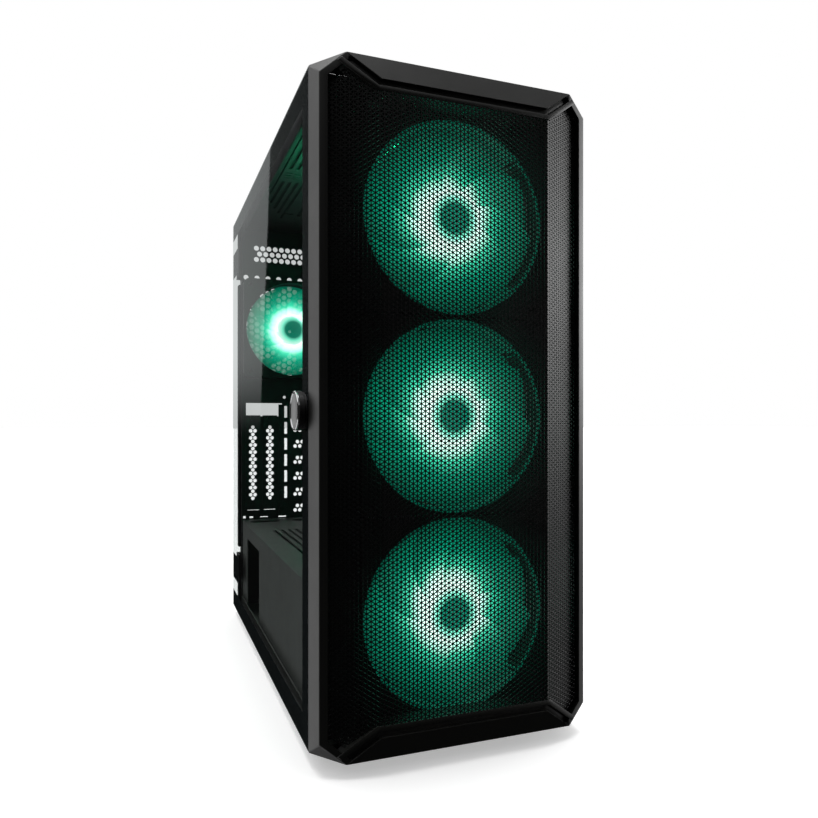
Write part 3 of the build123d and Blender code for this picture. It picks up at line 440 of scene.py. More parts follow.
class Skin(Enum):
    """Every finish on the tower."""

    STEEL = Finish("black_powder_steel", (0.020, 0.021, 0.021), rough=0.46, grain=1700.0, grain_depth=0.00006,
                   mottle=0.12)
    BEZEL = Finish("bezel_moulding", (0.0135, 0.0138, 0.0125), rough=0.33, grain=3000.0, grain_depth=0.000022,
                   mottle=0.14, rough_spread=0.05)
    PLASTIC = Finish("black_moulding", (0.012, 0.012, 0.013), rough=0.5, grain=2400.0)
    FAN = Finish("fan_frame_moulding", (0.010, 0.012, 0.012), rough=0.42, grain=2200.0, grain_depth=0.00003)
    ZINC = Finish("plated_screw", (0.45, 0.45, 0.44), rough=0.3, metal=1.0, grain=1200.0, mottle=0.15)
    BLACK_SCREW = Finish("blackened_screw", (0.04, 0.04, 0.042), rough=0.34, metal=1.0, grain=1200.0)
    CHROME = Finish("bright_rim", (0.74, 0.75, 0.76), rough=0.14, metal=1.0, grain=900.0, mottle=0.06,
                    rough_spread=0.05)
    KNOB = Finish("knob_face", (0.30, 0.305, 0.305), rough=0.3, metal=1.0, grain=2500.0,
                  streak=(1.0, 1.0, 0.05), mottle=0.2, rough_spread=0.06)
    BRASS = Finish("brass_spacer", (0.62, 0.42, 0.16), rough=0.3, metal=1.0, grain=1500.0)
    RUBBER = Finish("foot_rubber", (0.014, 0.014, 0.014), rough=0.82, grain=900.0, grain_depth=0.00012)
    ALLOY = Finish("fin_alloy", (0.55, 0.56, 0.58), rough=0.32, metal=1.0, grain=1600.0,
                   streak=(1.0, 0.06, 1.0))
    DRIVE = Finish("drive_case", (0.22, 0.225, 0.23), rough=0.36, metal=1.0, grain=1800.0, mottle=0.1)
    PORT = Finish("port_shell", (0.5, 0.5, 0.5), rough=0.28, metal=1.0, grain=1300.0, streak=(1.0, 1.0, 0.1))
    INK = Finish("glass_border_ink", (0.0045, 0.013, 0.016), rough=0.2, grain=3000.0, grain_depth=0.000008,
                 mottle=0.1, rough_spread=0.04, specular=0.02)
    # a paler copy of the black powder steel: painted light on the inside of the top panel
    PALE_STEEL = Finish("inner_steel_painted_light", (0.06, 0.061, 0.06), rough=0.5, grain=1700.0,
                        grain_depth=0.00006)
    # a paler copy of the black powder steel: painted light on the shroud and the bottom tray
    SHROUD_STEEL = Finish("shroud_steel_painted_light", (0.20, 0.205, 0.195), rough=0.5, grain=1700.0,
                          grain_depth=0.00006)
    SCREEN = ScreenFinish("filter_screen", (0.012, 0.012, 0.012))
    LAMINATE = LaminateFinish("board_laminate")
    MESH = MeshFinish("front_mesh_lacquer")
    GLASS = GlassFinish("door_glass")
    GLASS_INSIDE = GlassFinish("door_glass_inside", outer=False, tint=(0.97, 0.98, 0.98))
    CHIP = Finish("chip_resin", (0.012, 0.012, 0.013), rough=0.55, grain=3500.0)
    CAN = Finish("capacitor_can", (0.42, 0.42, 0.44), rough=0.3, metal=1.0, grain=1800.0)

    def made(self) -> bpy.types.Material:
        """The material of this finish, built once.

        Returns:
            The material.
        """
        return bpy.data.materials.get(self.value.name) or self.value.build()


# ------------------------------------------------------------------ mesh tools
def new_bmesh() -> BMesh:
    """An empty bmesh."""
    return bmesh.new()


def add_box(bm: BMesh, low: Sequence[float], high: Sequence[float]) -> list:
    """Add a box between two corners.

    Args:
        bm: the mesh to grow.
        low: lowest corner.
        high: highest corner.

    Returns:
        Its vertices.
    """
    low, high = Vector(low), Vector(high)
    place = Matrix.LocRotScale((low + high) / 2, None, high - low)
    return bmesh.ops.create_cube(bm, size=1.0, matrix=place)["verts"]


def add_eased_box(bm: BMesh, low: Sequence[float], high: Sequence[float], ease: float,
                  segments: int = 2) -> None:
    """Add a box with rounded edges.

    Args:
        bm: the mesh to grow.
        low: lowest corner.
        high: highest corner.
        ease: bevel width.
        segments: steps of the round.
    """
    part = new_bmesh()
    add_box(part, low, high)
    bevel_all(part, ease, segments)
    merge(bm, part)


def bevel_all(bm: BMesh, width: float, segments: int = 2, angle: float = math.radians(28)) -> None:
    """Round every sharp edge.

    Args:
        bm: the mesh.
        width: bevel width.
        segments: steps of the round.
        angle: edges flatter than this stay.
    """
    sharp = [e for e in bm.edges if e.is_manifold and e.calc_face_angle(0.0) > angle]
    bmesh.ops.bevel(bm, geom=sharp, offset=width, offset_type="OFFSET", affect="EDGES", segments=segments,
                    profile=0.5, material=-1, clamp_overlap=True)


TURN = {"x": Matrix.Rotation(math.pi / 2, 4, "Y"), "y": Matrix.Rotation(-math.pi / 2, 4, "X"),
        "z": Matrix.Identity(4)}


def add_rod(bm: BMesh, axis: str, centre: Sequence[float], radius: float, length: float, sides: int = 48,
            tip: float | None = None) -> list:
    """Add a round rod or cone.

    Args:
        bm: the mesh to grow.
        axis: x, y or z.
        centre: its middle.
        radius: radius at the low end.
        length: length along the axis.
        sides: flats around.
        tip: radius at the far end, the same if None.

    Returns:
        Its vertices.
    """
    place = Matrix.Translation(Vector(centre)) @ TURN[axis]
    return bmesh.ops.create_cone(bm, cap_ends=True, segments=sides, radius1=radius,
                                 radius2=radius if tip is None else tip, depth=length, matrix=place)["verts"]


def add_turned(bm: BMesh, axis: str, centre: Sequence[float], outline: Sequence[tuple[float, float]],
               steps: int = 64) -> None:
    """Spin a closed outline into a ring-shaped or dished piece.

    Args:
        bm: the mesh to grow.
        axis: axis of the turn.
        centre: a point on the axis.
        outline: (radius, height along the axis) points of the closed section.
        steps: steps around.
    """
    part = new_bmesh()
    verts = [part.verts.new((r, 0.0, h)) for r, h in outline]
    ring = [part.edges.new((a, b)) for a, b in zip(verts, verts[1:] + verts[:1])]
    bmesh.ops.spin(part, geom=verts + ring, cent=(0, 0, 0), axis=(0, 0, 1), angle=2 * math.pi, steps=steps,
                   use_merge=True)
    bmesh.ops.remove_doubles(part, verts=part.verts, dist=WELD)
    bmesh.ops.recalc_face_normals(part, faces=part.faces)
    bmesh.ops.transform(part, matrix=Matrix.Translation(Vector(centre)) @ TURN[axis], verts=part.verts)
    merge(bm, part)


def merge(bm: BMesh, part: BMesh) -> None:
    """Move one bmesh into another."""
    mesh = bpy.data.meshes.new("part")
    part.to_mesh(mesh)
    part.free()
    bm.from_mesh(mesh)
    bpy.data.meshes.remove(mesh)


def add_prism(bm: BMesh, outline: Iterable[Sequence[float]], along: Sequence[float]) -> None:
    """Extrude a flat outline into a closed prism.

    Args:
        bm: the mesh to grow.
        outline: corner points in order.
        along: the extrusion vector.
    """
    part = new_bmesh()
    face = part.faces.new([part.verts.new(p) for p in outline])
    top = bmesh.ops.extrude_face_region(part, geom=[face])["geom"]
    bmesh.ops.translate(part, vec=Vector(along), verts=[v for v in top if isinstance(v, BMVert)])
    bmesh.ops.recalc_face_normals(part, faces=part.faces)
    merge(bm, part)


def slice_off(bm: BMesh, point: Sequence[float], normal: Sequence[float]) -> None:
    """Cut off what lies on the normal's side of a plane and close the cut.

    Args:
        bm: the mesh.
        point: a point on the plane.
        normal: points at what is removed.
    """
    cut = bmesh.ops.bisect_plane(bm, geom=bm.verts[:] + bm.edges[:] + bm.faces[:], dist=FLAT,
                                 plane_co=Vector(point), plane_no=Vector(normal), clear_outer=True)
    edges = [e for e in cut["geom_cut"] if isinstance(e, BMEdge)]
    bmesh.ops.holes_fill(bm, edges=[e for e in edges if e.is_boundary], sides=0)


def wrap(part: BMesh) -> None:
    """Turn loose points into the closed convex block that they span.

    Args:
        part: the mesh that holds the points.
    """
    made = bmesh.ops.convex_hull(part, input=part.verts)
    loose = [e for e in made["geom_interior"] + made["geom_unused"] if isinstance(e, BMVert)]
    bmesh.ops.delete(part, geom=loose, context="VERTS")
    bmesh.ops.dissolve_limit(part, angle_limit=math.radians(0.5), verts=part.verts, edges=part.edges)
    bmesh.ops.recalc_face_normals(part, faces=part.faces)


def slot_outline(length: float, width: float, steps: int = 5) -> list[tuple[float, float]]:
    """Corner points of a slot with round ends, long along its first axis.

    Args:
        length: end to end.
        width: across.
        steps: corners of each round end.

    Returns:
        Points about the origin.
    """
    half, r = (length - width) / 2, width / 2
    ends = []
    for side in (1, -1):
        for i in range(steps + 1):
            turn = -math.pi / 2 + math.pi * i / steps
            ends.append((side * (half + r * math.cos(turn)), side * r * math.sin(turn)))
    return ends


def as_object(name: str, bm: BMesh) -> bpy.types.Object:
    """Turn a bmesh into an object in the scene.

    Args:
        name: name of the object and its mesh.
        bm: the shape, which is freed.

    Returns:
        The object.
    """
    mesh = bpy.data.meshes.new(name)
    bm.to_mesh(mesh)
    bm.free()
    thing = bpy.data.objects.new(name, mesh)
    bpy.context.scene.collection.objects.link(thing)
    return thing


def with_modifiers(thing: bpy.types.Object, *helpers: bpy.types.Object) -> BMesh:
    """The shape of an object with its modifiers applied.

    Args:
        thing: the object, which is removed.
        helpers: objects that its modifiers use, removed too.

    Returns:
        The shape.
    """
    bpy.context.view_layer.update()
    mesh = bpy.data.meshes.new_from_object(thing.evaluated_get(bpy.context.evaluated_depsgraph_get()))
    result = new_bmesh()
    result.from_mesh(mesh)
    bpy.data.meshes.remove(mesh)
    for used in (thing, *helpers):
        data = used.data
        bpy.data.objects.remove(used)
        bpy.data.meshes.remove(data)
    return result


def carved(bm: BMesh, cutters: BMesh) -> BMesh:
    """Subtract one mesh from another.

    Args:
        bm: what is cut.
        cutters: what cuts.

    Returns:
        The result.
    """
    block, tool = as_object("block", bm), as_object("tool", cutters)
    cut = block.modifiers.new("cut", "BOOLEAN")
    cut.operation, cut.solver, cut.object = "DIFFERENCE", "EXACT", tool
    return with_modifiers(block, tool)


@dataclass
class Piece:
    """A finished mesh and what it stands for."""

    name: str
    body: str
    skin: Skin | bpy.types.Material
    slot: str
    stands_for: tuple[str, ...] = ()
    smooth: bool = True

    def place(self, bm: BMesh) -> bpy.types.Object:
        """Turn a bmesh into an object that rides its body.

        Args:
            bm: the shape, which is freed.

        Returns:
            The object.
        """
        thing = as_object(self.name, bm)
        thing.data.materials.append(self.skin.made() if isinstance(self.skin, Skin) else self.skin)
        if self.smooth:
            smooth_by_angle(thing.data)
        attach(thing, self.body)
        if self.stands_for:
            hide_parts(*self.stands_for)
        LOG.info("piece %s on %s: %d faces", self.name, self.body, len(thing.data.polygons))
        return thing


def smooth_by_angle(mesh: bpy.types.Mesh, angle: float = math.radians(32), wide: float = 6 * MM) -> None:
    """Shade narrow faces smooth, and leave sharp edges and broad flat faces hard.

    Args:
        mesh: the mesh.
        angle: edges sharper than this stay hard.
        wide: faces broader than this stay flat.
    """
    bm = new_bmesh()
    bm.from_mesh(mesh)
    for face in bm.faces:
        face.smooth = face.calc_area() < wide * max(edge.calc_length() for edge in face.edges)
    for edge in bm.edges:
        edge.smooth = edge.is_manifold and edge.calc_face_angle(math.pi) < angle
    bm.to_mesh(mesh)
    bm.free()


def span(node: str) -> tuple[Vector, Vector]:
    """Lowest and highest corner of a CAD node."""
    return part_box(node)


def middle(node: str) -> Vector:
    """Middle of a CAD node's box."""
    low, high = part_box(node)
    return (low + high) / 2


def worked_copy(node: str) -> BMesh:
    """A closed, tidied copy of a CAD node's mesh to work on.

    Args:
        node: the CAD node.

    Returns:
        The copy, its flat faces whole.
    """
    bm = new_bmesh()
    bm.from_mesh(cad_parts[node].data)
    bmesh.ops.remove_doubles(bm, verts=bm.verts, dist=2 * WELD)
    bmesh.ops.dissolve_limit(bm, angle_limit=math.radians(1.0), verts=bm.verts, edges=bm.edges)
    return bm


def repeated(bm: BMesh, counts: Sequence[int], steps: Sequence[Point]) -> BMesh:
    """Repeat a small shape along up to two directions.

    Args:
        bm: the shape, which is freed.
        counts: copies along each direction.
        steps: offset of each direction.

    Returns:
        All the copies.
    """
    thing = as_object("repeat", bm)
    for count, step in zip(counts, steps):
        row = thing.modifiers.new("row", "ARRAY")
        row.count = count
        row.use_relative_offset = False
        row.use_constant_offset = True
        row.constant_offset_displace = step
    return with_modifiers(thing)


# ------------------------------------------------------------------ the front
MID_X = (span("glass_door")[0].x + span("right_side_panel")[1].x) / 2


@dataclass
class FrontCover:
    """Pull-off front: hollow surround, two sloped visors and the folded mesh."""

    wall: float = 3.0 * MM
    rail_setback: float = 7.0 * MM
    draft_side: float = 1.8 * MM
    draft_top: float = 2.1 * MM
    corner_cut: tuple[float, float] = (17.0 * MM, 13.0 * MM)
    rail_wide: float = 5.4 * MM
    fold: float = 63.0 * MM
    mesh_fall: float = 15.6 * MM
    wire_pitch: float = 2.9 * MM
    wire_wide: float = 0.75 * MM
    wire_deep: float = 0.5 * MM
    wire_step: float = 0.03 * MM        # how far each layer of wires lies behind the one before
    stud: tuple[float, float] = (0.72 * MM, 0.95 * MM)    # front and back radius
    mesh_setback: float = 0.2 * MM
    middle_lip: float = 25.6 * MM       # strip of cover over and under the middle of the mesh
    strip_lip: float = 24.0 * MM        # the same at the inner edge of a side strip
    strip_mouth: float = 10.0 * MM      # at its shoulder
    strip_corner: float = 20.0 * MM     # and at its outer edge
    mouth_rim: float = 6.5 * MM
    mouth_side: float = 1.5 * MM
    visor_crest: float = 2.3 * MM       # depths of the visor under the edge of the cover
    visor_foot: float = 18.8 * MM
    groove_wide: float = 4.2 * MM
    groove_deep: float = 3.0 * MM
    lip_wide: float = 3.6 * MM

    def __post_init__(self) -> None:
        """Read the planes that the shapes hang on."""
        low, high = span("front_bezel")
        self.front = span("front_mesh")[0].y
        self.crest, self.seam = low.y, high.y
        self.low, self.high = low.z, high.z
        self.half = (high.x - low.x) / 2
        self.rail_x = self.half - self.draft_side
        self.mesh_x = self.rail_x - self.rail_wide
        self.crest_x = self.rail_x - self.corner_cut[0]
        self.visor_back = self.crest + 10 * MM

    def build(self) -> None:
        """Build every piece."""
        self._surround()
        for side in (1, -1):
            self._visor(side)
        self._mesh_centre()
        for side in (1, -1):
            self._mesh_strip(side)

    def _hull(self, grow: float) -> BMesh:
        """The outer block of the surround, drawn in by a wall.

        Args:
            grow: how far every side is drawn in.

        Returns:
            The closed block.
        """
        back = self.seam + (1.0 * MM if grow else 0.0)
        part = new_bmesh()
        inset = grow * 0.4
        for sx in (-1, 1):
            for z0, sz in ((self.low, 1), (self.high, -1)):
                corner = (sx * (self.half - grow), back, z0 + sz * grow)
                crest = (sx * (self.crest_x - inset), self.crest, z0 + sz * (self.draft_top + grow))
                rail = (sx * (self.rail_x - grow), self.crest + self.rail_setback,
                        z0 + sz * (self.draft_top + self.corner_cut[1] + inset))
                for x, y, z in (corner, crest, rail):
                    part.verts.new((MID_X + x, y, z))
        wrap(part)
        return part

    def _surround(self) -> None:
        """Hollow surround with its crisp faceted corners."""
        outer = self._hull(0.0)
        bevel_all(outer, 0.55 * MM, 2, math.radians(12))
        rail_low = self.draft_top + self.corner_cut[1] + 2 * MM
        rim, side = self.low + self.mouth_rim, self.crest_x - self.mouth_side
        half = [(-self.mesh_x, self.low + rail_low), (-side, rim), (side, rim),
                (self.mesh_x, self.low + rail_low)]
        outline = half + [(x, self.low + self.high - z) for x, z in reversed(half)]
        mouth = new_bmesh()
        add_prism(mouth, [(MID_X + x, self.crest - 20 * MM, z) for x, z in outline], (0, 46 * MM, 0))
        piece = Piece("front_surround", "front_cover", Skin.BEZEL, "bezel_plastic", ("front_bezel",))
        piece.place(carved(carved(outer, self._hull(self.wall)), mouth))

    def _ring(self, side: int, out: float, over: float = 0.0) -> list[tuple[float, float]]:
        """Outline of a visor seen from the front, grown by a distance.

        Args:
            side: 1 at the top, -1 at the bottom.
            out: how far it is grown.
            over: how far it goes past the crest.

        Returns:
            (x, z) corners from one end of the crest to the other.
        """
        edge = self.high if side > 0 else self.low
        crest, foot = self.visor_crest - over, self.visor_foot + out
        lean = (self.crest_x - self.fold) / (self.visor_foot - self.visor_crest)
        near = self.fold + out / 3
        far = near + lean * (foot - crest)
        right = ((far, edge - side * crest), (near, edge - side * foot))
        return [(MID_X + x, z) for x, z in right] + [(MID_X - x, z) for x, z in reversed(right)]

    def _band(self, side: int, inside: float, out: float, front: float) -> BMesh:
        """Band between two grown outlines, its two ends falling back with the visor.

        Args:
            side: 1 at the top, -1 at the bottom.
            inside: how far its inner outline is grown.
            out: how far its outer outline is grown.
            front: where its front face is.

        Returns:
            The band.
        """
        part = new_bmesh()
        add_prism(part, [(x, front, z) for x, z in self._ring(side, out)], (0, self.visor_back - front, 0))
        for end in (-1, 1):
            along = Vector((end * (self.crest_x - self.fold), self.crest - self.front, 0))
            slice_off(part, (MID_X + end * self.fold, front, 0), (end * along.y, -abs(along.x), 0))
        self._facets(part, side)
        hole = new_bmesh()
        outline = self._ring(side, inside, 4 * MM)
        add_prism(hole, [(x, self.front - MM, z) for x, z in outline], (0, 30 * MM, 0))
        return carved(part, hole)

    def _facets(self, part: BMesh, side: int) -> None:
        """Cut both corner facets off a block, just under the surround's surface.

        Args:
            part: the block.
            side: 1 at the top, -1 at the bottom.
        """
        edge = self.high if side > 0 else self.low
        for end in (-1, 1):
            crest = Vector((MID_X + end * self.crest_x, self.crest, edge - side * self.draft_top))
            rail = Vector((MID_X + end * self.rail_x, self.crest + self.rail_setback,
                           edge - side * (self.draft_top + self.corner_cut[1])))
            corner = Vector((MID_X + end * self.half, self.seam, edge))
            out = (rail - crest).cross(corner - crest).normalized()
            out *= 1 if out.x * end > 0 else -1
            slice_off(part, crest - out * 0.5 * MM, out)

    def _visor(self, side: int) -> None:
        """Sloped visor, with its groove and the lip that closes on the mesh.

        Args:
            side: 1 at the top, -1 at the bottom.
        """
        slope = new_bmesh()
        for (x, z), y in zip(self._ring(side, 0.0), (self.crest, self.front, self.front, self.crest)):
            for depth in (y, self.visor_back):
                slope.verts.new((x, depth, z))
        wrap(slope)
        groove = self._band(side, -1.0 * MM, self.groove_wide + 0.5 * MM, self.front + self.groove_deep)
        lip = self._band(side, self.groove_wide, self.groove_wide + self.lip_wide, self.front)
        part = new_bmesh()
        for block in (slope, groove, lip):
            bevel_all(block, 0.3 * MM, 2, math.radians(20))
            merge(part, block)
        name = "top_visor" if side > 0 else "bottom_visor"
        Piece(name + "_moulding", "front_cover", Skin.BEZEL, "bezel_plastic", (name,)).place(part)

    def _lattice(self, low: tuple[float, float], high: tuple[float, float]) -> BMesh:
        """Flat triangular wire lattice over a rectangle, in the XZ plane with its face at y = 0.

        Args:
            low: lowest corner.
            high: highest corner.

        Returns:
            The wires and the raised studs at their crossings.
        """
        pitch = self.wire_pitch
        rise = pitch / math.cos(math.pi / 6)
        wide, tall = high[0] - low[0], high[1] - low[1]
        reach = math.hypot(wide, tall) / 2 + pitch
        centre = Vector(((low[0] + high[0]) / 2, 0, (low[1] + high[1]) / 2))
        sheet = new_bmesh()
        for order, turn in enumerate((0.0, math.pi / 3, -math.pi / 3)):
            count = 2 * int(reach / pitch) + 1
            bar = new_bmesh()
            first = -(count // 2) * pitch
            layer = order * self.wire_step
            add_box(bar, (first - self.wire_wide / 2, layer, -reach),
                    (first + self.wire_wide / 2, self.wire_deep + layer, reach))
            bars = repeated(bar, (count,), ((pitch, 0, 0),))
            place = Matrix.Translation(centre) @ Matrix.Rotation(turn, 4, "Y")
            bmesh.ops.transform(bars, matrix=place, verts=bars.verts)
            merge(sheet, bars)
        rows, columns = int(tall / rise) + 4, int(wide / (2 * pitch)) + 4
        dot = new_bmesh()
        for shift in (0, 1):
            x = centre.x + (shift - columns // 2 * 2) * pitch
            z = centre.z + (shift * 0.5 - rows // 2) * rise
            add_rod(dot, "y", (x, 0.12 * MM, z), self.stud[0], 0.5 * MM, 6, self.stud[1])
        merge(sheet, repeated(dot, (rows, columns), ((0, 0, rise), (2 * pitch, 0, 0))))
        return sheet

    def _trim(self, sheet: BMesh, outline: Sequence[tuple[float, float]]) -> None:
        """Cut a lattice to a convex outline given anticlockwise.

        Args:
            sheet: the lattice.
            outline: (x, z) corners.
        """
        for (x0, z0), (x1, z1) in zip(outline, list(outline[1:]) + [outline[0]]):
            slice_off(sheet, (x0, 0, z0), (z1 - z0, 0, x0 - x1))

    def _mesh_centre(self) -> None:
        """Flat middle of the mesh."""
        low = (-self.fold, self.low + self.middle_lip)
        high = (self.fold, self.high - self.middle_lip)
        sheet = self._lattice(low, high)
        self._trim(sheet, [low, (high[0], low[1]), high, (low[0], high[1])])
        self._hang(sheet, "mesh_middle", MID_X)

    def _mesh_strip(self, side: int) -> None:
        """One side strip of the mesh, folded back from the middle.

        Args:
            side: 1 on the panel's side, -1 on the door's side.
        """
        run = self.mesh_x - self.fold
        slant = math.hypot(run, self.mesh_fall)
        stretch = slant / run
        lip, mouth, corner = self.strip_lip, self.strip_mouth, self.strip_corner
        shoulder = (self.crest_x - 1.0 * MM - self.fold) * stretch
        outline = [(0.0, self.low + lip), (shoulder, self.low + mouth), (slant, self.low + corner),
                   (slant, self.high - corner), (shoulder, self.high - mouth), (0.0, self.high - lip)]
        sheet = self._lattice((0.0, self.low), (slant, self.high))
        self._trim(sheet, outline)
        turn = Matrix.Rotation(math.atan2(self.mesh_fall, run), 4, "Z")
        bmesh.ops.transform(sheet, matrix=turn, verts=sheet.verts)
        if side < 0:
            bmesh.ops.scale(sheet, vec=(-1, 1, 1), verts=sheet.verts)
            bmesh.ops.reverse_faces(sheet, faces=sheet.faces)
        self._hang(sheet, "mesh_right_strip" if side > 0 else "mesh_left_strip", MID_X + side * self.fold)

    def _hang(self, sheet: BMesh, name: str, x: float) -> None:
        """Move a cut lattice to the front and place it.

        Args:
            sheet: the lattice.
            name: the piece's name.
            x: where its own zero goes.
        """
        bmesh.ops.translate(sheet, vec=(x, self.front + self.mesh_setback, 0), verts=sheet.verts)
        piece = Piece(name, "front_cover", Skin.MESH, "mesh_steel", ("front_mesh",), smooth=False)
        piece.place(sheet)


# ------------------------------------------------------------------ the door
@dataclass
class Door:
    """Tempered pane with its printed border, knob and hinges."""

    border: float = 20.0 * MM
    ink: float = 0.15 * MM
    ink_depth: float = 0.3 * MM         # how deep in the glass the print lies
    ink_inset: float = 0.6 * MM
    bevel: float = 0.5 * MM
    screw_hole: float = 3.0 * MM
    pad_tall: float = 30.0 * MM
    pad_thick: float = 0.9 * MM
    print_long: float = 50.0 * MM

    def build(self) -> None:
        """Build every piece."""
        self.low, self.high = span("glass_door")
        self._pane()
        self._border()
        self._knob()
        self._hinge_pads()

    def _pane(self) -> None:
        """Pane with ground edges."""
        part = new_bmesh()
        add_box(part, self.low, self.high)
        bevel_all(part, self.bevel, 2)
        hole = new_bmesh()
        knob = middle("knob_rim")
        add_rod(hole, "x", (self.low.x, knob.y, knob.z), self.screw_hole, 20 * MM, 24)
        piece = Piece("door_pane", "door", Skin.GLASS_INSIDE, "tinted_glass", ("glass_door",))
        pane = piece.place(carved(part, hole)).data
        pane.materials.append(Skin.GLASS.made())
        for face in pane.polygons:
            face.material_index = int(face.normal.x < -0.9)

    def _border(self) -> None:
        """Printed border, which the glass carries up to its outer face: front, top and bottom."""
        x, inset = self.low.x + self.ink_depth, self.ink_inset
        part = new_bmesh()
        add_box(part, (x, self.low.y + inset, self.low.z + inset),
                (x + self.ink, self.high.y - inset, self.high.z - inset))
        window = new_bmesh()
        add_box(window, (x - MM, self.low.y + self.border, self.low.z + self.border),
                (x + 2 * MM, self.high.y + MM, self.high.z - self.border))
        piece = Piece("door_printed_border", "door", Skin.INK, "black_plastic", ("glass_door",))
        piece.place(carved(part, window))

    def _hinge_pads(self) -> None:
        """Pads glued to the glass behind its hinges, and the print that hides them."""
        leaf_low, leaf_high = span("hinge_door_leaves")
        x = self.low.x + self.ink_depth
        pads, prints = new_bmesh(), new_bmesh()
        for z in (leaf_low.z, leaf_high.z - self.pad_tall):
            top = z + self.pad_tall
            add_eased_box(pads, (self.high.x + 0.02 * MM, leaf_low.y, z),
                          (self.high.x + self.pad_thick, self.high.y - 0.8 * MM, top), 0.35 * MM)
            add_box(prints, (x, self.high.y - self.print_long, z),
                    (x + self.ink, self.high.y - self.ink_inset, top))
        Piece("hinge_pads", "door", Skin.PLASTIC, "black_plastic", ("glass_door",)).place(pads)
        Piece("hinge_print", "door", Skin.INK, "black_plastic", ("glass_door",)).place(prints)

    def _knob(self) -> None:
        """Turned knob: dark body, bright rim and dished face."""
        rim_low, rim_high = span("knob_rim")
        centre = middle("knob_rim")
        radius = (rim_high.y - rim_low.y) / 2
        face, back = rim_low.x - self.low.x, rim_high.x - self.low.x
        at = (self.low.x, centre.y, centre.z)
        body = new_bmesh()
        add_turned(body, "x", at, [(1.6 * MM, 0.0), (radius - 0.8 * MM, 0.0), (radius - 0.8 * MM, -1.2 * MM),
                                   (radius, -1.8 * MM), (radius, back), (radius - 1.6 * MM, back),
                                   (radius - 1.8 * MM, back + 0.6 * MM), (1.6 * MM, back + 1.5 * MM)])
        Piece("knob_body", "door", Skin.PLASTIC, "black_plastic", ("door_knob",)).place(body)
        rim = new_bmesh()
        inner = radius - 1.7 * MM
        add_turned(rim, "x", at, [(inner, back), (radius, back), (radius, face + 0.6 * MM),
                                  (radius - 0.5 * MM, face), (inner + 0.5 * MM, face),
                                  (inner, face + 0.6 * MM)])
        Piece("knob_bright_rim", "door", Skin.CHROME, "bright_metal", ("knob_rim",)).place(rim)
        cap = new_bmesh()
        dish = [(inner - 0.05 * MM, face + 0.7 * MM), (inner * 0.8, face + 1.5 * MM),
                (inner * 0.5, face + 2.0 * MM), (inner * 0.2, face + 2.25 * MM), (0.0, face + 2.3 * MM),
                (0.0, back + 0.9 * MM), (inner - 0.05 * MM, back + 0.1 * MM)]
        add_turned(cap, "x", at, dish)
        Piece("knob_dished_face", "door", Skin.KNOB, "bright_metal", ("door_knob",)).place(cap)


